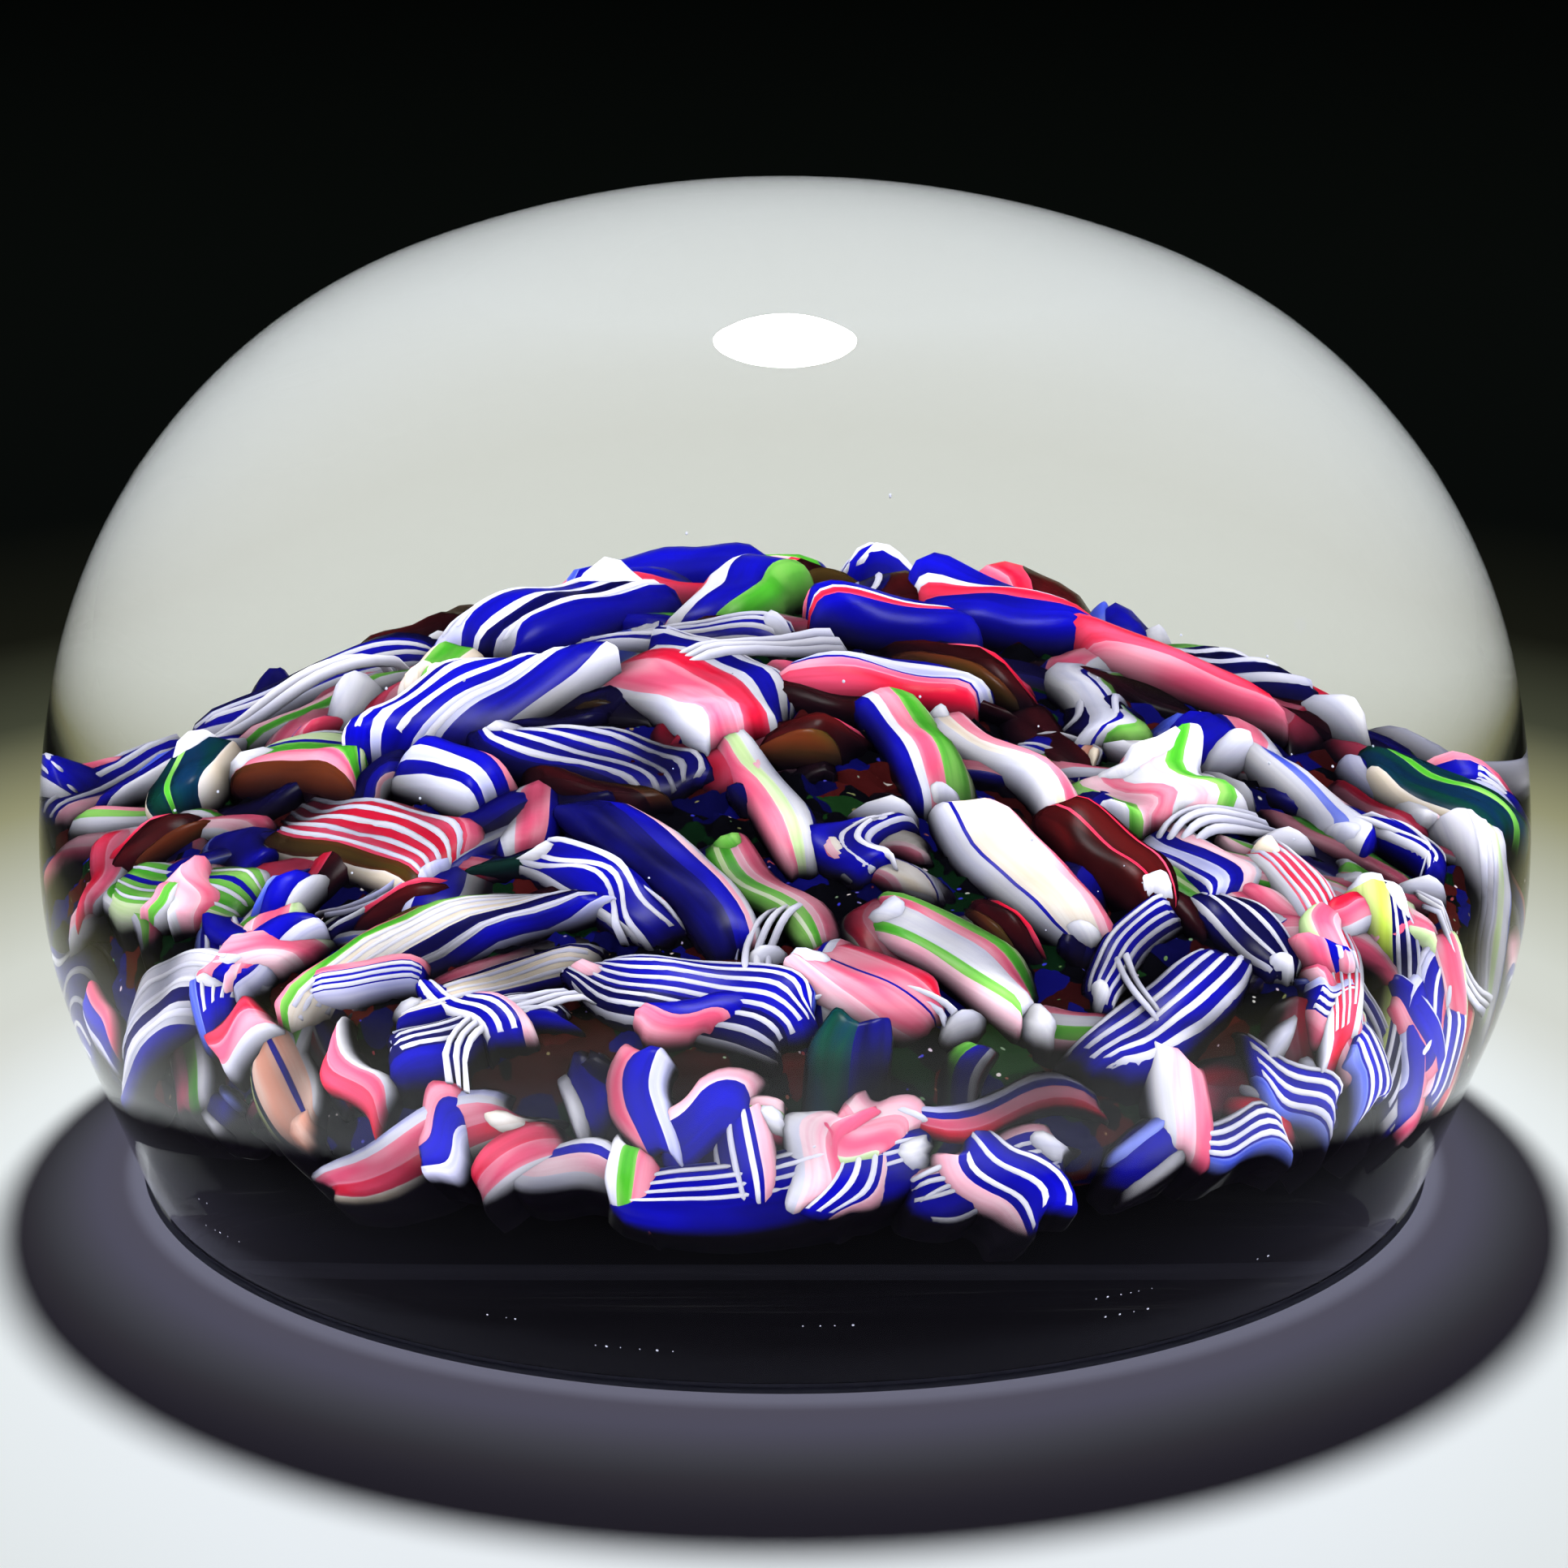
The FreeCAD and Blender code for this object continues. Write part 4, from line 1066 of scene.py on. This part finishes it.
def makeOffcuts(look):
    whole = bmesh.new()
    plain = [words for known in caneLooks.values() for words in known.get("bands", "x").split(" | ")]
    plain = [words for words in plain if "x" not in words] + look["more"]  # the recipes without threads
    for number in range(look["chips"] + look["rimChips"]):
        atRim = number >= look["chips"]
        place = looseSeat(look, *scattered(look["chipReach"]))
        if atRim:
            place = looseSeat(look, random.uniform(*look["rimReach"]), random.uniform(*look["rimCompass"]))
            place["thick"] = look["rimThick"]
            place["length"] *= look["rimLength"]
        curl = {key: random.uniform(*look[key]) for key in ("taper", "bow", "wave")}
        move = sagged(place, curl, number * look["noiseStep"])
        if atRim or abs(place["origin"].x) > look["darkReach"]:
            recipes = look["pale"]
        elif number % look["darkEvery"] == 0:
            recipes = look["dark"]
        else:
            recipes = plain
        length, width, thick = place["length"], place["width"], place["thick"]
        body, strips = bar(readBands(random.choice(recipes)), width, length, thick, barLook)
        joinInto(whole, body, None, move, strips)
        if number % 2 == 0:  # the threads have come off every second bit
            continue
        for line, middle, radius in threadLines(strips, look["thread"], look["threadRoom"]):
            high = thick - radius * look["threadSunk"]
            string = thread(middle, radius, length * look["threadLength"], high, look["threadSteps"])
            joinInto(whole, string, "thread", move)
    return finishPiece(whole, "small_offcuts", glasses, "ruby")


def makeLooseThreads(look):  # single filigree threads that came away from their canes
    whole = bmesh.new()
    for number in range(look["bundles"]):
        place = looseSeat(offcutLook, *scattered(look["reach"]))
        curl = {"bow": random.uniform(*look["bow"]), "tangle": look["tangle"], "taper": 0.0}
        move = sagged(place, curl, look["noiseFrom"] + number * look["noiseStep"])
        high = place["thick"] + look["above"]
        for line in range(random.choice(look["threads"])):
            middle = (line - 1) * look["spacing"]
            string = thread(middle, offcutLook["thread"], place["length"], high, look["steps"])
            joinInto(whole, string, random.choice(look["glasses"]), move)
    return finishPiece(whole, "loose_threads", glasses, "filigree")


makeOffcuts(offcutLook)
makeLooseThreads(looseThreadLook)
print("gaps filled")


# seeds: air caught in the glass, in short rows near the foot and scattered over the canes
seedLook = {
    "rows": 10,
    "rowSeeds": (2, 6),
    "rowReach": (22 * mm, 30 * mm),
    "rowHeight": (1.6 * mm, 4.6 * mm),
    "rowCompass": (-2.9, -0.2),  # radians, over the front
    "spacing": (0.372 * mm, 0.93 * mm),
    "loose": 26,
    "looseReach": 21 * mm,
    "looseInner": 0.01,
    "looseHeight": (4.6 * mm, 5.6 * mm),
    "radius": (0.025 * mm, 0.06 * mm),
    # painted pale, a painted reflection
    "colour": "#B4B8C4",
    "gloss": {"Roughness": 0.5, "Specular IOR Level": 0.1},
}


def airSeed(look):  # an air bubble, painted pale: a painted reflection of the light around it, paler than the glass behind it
    material, tree = newMaterial("trappedAirSeed")
    pale = addNode(tree, "BsdfPrincipled", {"Base Color": linear(look["colour"]), **look["gloss"]})
    addNode(tree, "OutputMaterial", links={"Surface": pale})
    return material


def makeSeeds(look):
    whole = bmesh.new()
    spots = []
    for row in range(look["rows"]):
        reach, height = random.uniform(*look["rowReach"]), random.uniform(*look["rowHeight"])
        compass = random.uniform(*look["rowCompass"])
        for number in range(random.randint(*look["rowSeeds"])):
            compass += random.uniform(*look["spacing"]) / reach
            spots.append(Vector((reach * math.cos(compass), reach * math.sin(compass), height)))
    for number in range(look["loose"]):
        spot, up = seatPoint(*scattered(look["looseReach"], look["looseInner"]))
        spots.append(spot + up * random.uniform(*look["looseHeight"]))
    for spot in spots:
        made = bmesh.ops.create_icosphere(whole, subdivisions=2, radius=random.uniform(*look["radius"]))
        bmesh.ops.translate(whole, vec=spot, verts=made["verts"])
    return finishPiece(whole, "seed_bubbles", [airSeed(look)], "crystal")


makeSeeds(seedLook)
print("seeds scattered")


# the table: a pale card, with a pool of lamp light painted on it: bright in front, falling off into the dark
floorLook = {
    "radius": 900 * mm,
    "height": -0.02 * mm,
    "middle": Vector((0, -20, 0)) * mm,
    "narrow": Vector((1.4, 1, 1)),
    "paintedLightPool": [  # a painted pool of lamp light, by millimetres from that middle
        (0, "#F6FAFE"), (42, "#F4FAFF"), (60, "#ECF2F3"), (71, "#D3D6CF"), (78, "#D2D6CE"), (107, "#8F8F6F"),
        (126, "#3F4234"), (150, "#151610"), (190, "#070908"), (400, "#090C0A"), (880, "#101412"),
    ],
    "gathered": 1.4,  # what the casing gathers from it, as below
}
# the light that the casing gathers from all round on what lies inside it: mostly from the two sides
gatheredLook = {
    "colour": "#F4F4FF",
    "inFront": 4.6,
    "aside": 13.0,
    "asideRange": {"From Min": 0.2, "From Max": 0.9},
    "above": 0.9,
    "aboveRange": {"From Min": 0.0, "From Max": 0.8},
}
# one lamp lights, the other is seen as the oval highlight; both stand a little behind the weight, by degrees
lampAim = Vector((0, 0, 30)) * mm
lampLooks = {
    "lamp": {
        "behind": 22, "distance": 500 * mm, "size": (56 * mm, 56 * mm), "power": 2.95,
        "lights": True, "shines": False,
    },
    "shine": {
        "behind": 27.6, "distance": 300 * mm, "size": (58 * mm, 88 * mm), "power": 0.8,
        "lights": False, "shines": True,
    },
}


def insideOnly(tree):  # 1 for the soft light that reaches what lies inside the glass, through one wall
    path = addNode(tree, "LightPath")
    oneWall = addNode(tree, "Math", {1: 1.0, 2: 0.5}, {
        0: path.outputs["Transmission Depth"],
    }, operation="COMPARE")
    return addNode(tree, "Math", links={0: oneWall, 1: path.outputs["Is Diffuse Ray"]}, operation="MULTIPLY")


def whiteCard(look):  # uncoated card, rolled: quite matt, with a pool of lamp light painted on it as its colour, a painted light
    material, tree = newMaterial("paperWhiteCard")
    place = addNode(tree, "TexCoord")
    shift = addNode(tree, "VectorMath", {1: look["middle"]}, {
        0: place.outputs["Object"],
    }, operation="SUBTRACT")
    narrow = addNode(tree, "VectorMath", {1: look["narrow"]}, {0: shift}, operation="MULTIPLY")
    reach = addNode(tree, "VectorMath", links={0: narrow}, operation="LENGTH")
    furthest = look["paintedLightPool"][-1][0]
    part = addNode(tree, "Math", {1: 1 / (furthest * mm)}, {0: reach.outputs["Value"]}, operation="MULTIPLY")
    tone = addNode(tree, "ValToRGB", links={"Fac": part})
    setRamp(tone, [(away / furthest, code) for away, code in look["paintedLightPool"]])
    card = addNode(tree, "BsdfPrincipled", {
        "Roughness": 1.0, "Specular IOR Level": 0.0,
    }, {"Base Color": tone})
    glow = addNode(tree, "Emission", {"Color": linear(gatheredLook["colour"]), "Strength": look["gathered"]})
    soft = insideOnly(tree)
    mix = addNode(tree, "MixShader", links={0: soft, 1: card, 2: glow})
    addNode(tree, "OutputMaterial", links={"Surface": mix})
    material.cycles.emission_sampling = "NONE"
    return material


def makeFloor(look):
    bm = bmesh.new()
    bmesh.ops.create_circle(bm, cap_ends=True, cap_tris=False, segments=96, radius=look["radius"])
    bmesh.ops.translate(bm, vec=(0, 0, look["height"]), verts=bm.verts)
    floor = meshObject(bm, "floor", [whiteCard(look)])


def makeLamp(name, look):
    light = bpy.data.lights.new(name, "AREA")
    light.shape = "ELLIPSE"
    light.size, light.size_y = look["size"]
    light.energy = look["power"]
    holder = addObject(name, light)
    towardsLamp = leaning(Vector((0, 1, 0)), math.radians(look["behind"]))
    placeAt(holder, lampAim + look["distance"] * towardsLamp, lampAim)
    holder.visible_diffuse = look["lights"]
    holder.visible_glossy = look["shines"]
    holder.visible_transmission = False


def makeRoom(look):  # a dark room, but for what the casing gathers
    world = bpy.data.worlds.new("darkRoom")
    world.use_nodes = True
    world.cycles.sampling_method = "NONE"
    tree = world.node_tree
    tree.nodes.clear()
    soft = insideOnly(tree)
    place = addNode(tree, "TexCoord")
    split = addNode(tree, "SeparateXYZ", links={0: place.outputs["Generated"]})
    across = addNode(tree, "Math", links={0: split.outputs["X"]}, operation="ABSOLUTE")
    aside = addNode(tree, "MapRange", {
        "To Min": look["inFront"], "To Max": look["aside"], **look["asideRange"],
    }, {"Value": across})
    above = addNode(tree, "MapRange", {"To Max": look["above"], **look["aboveRange"]}, {
        "Value": split.outputs["Z"], "To Min": aside,
    })
    power = addNode(tree, "Math", links={0: soft, 1: above}, operation="MULTIPLY")
    air = addNode(tree, "Background", {"Color": linear(look["colour"])}, {"Strength": power})
    addNode(tree, "OutputWorld", links={"Surface": air})
    bpy.context.scene.world = world


makeFloor(floorLook)
for lampName, lampLook in lampLooks.items():
    makeLamp(lampName, lampLook)
makeRoom(gatheredLook)
bpy.context.scene.view_settings.view_transform = "Standard"
print("stage set")
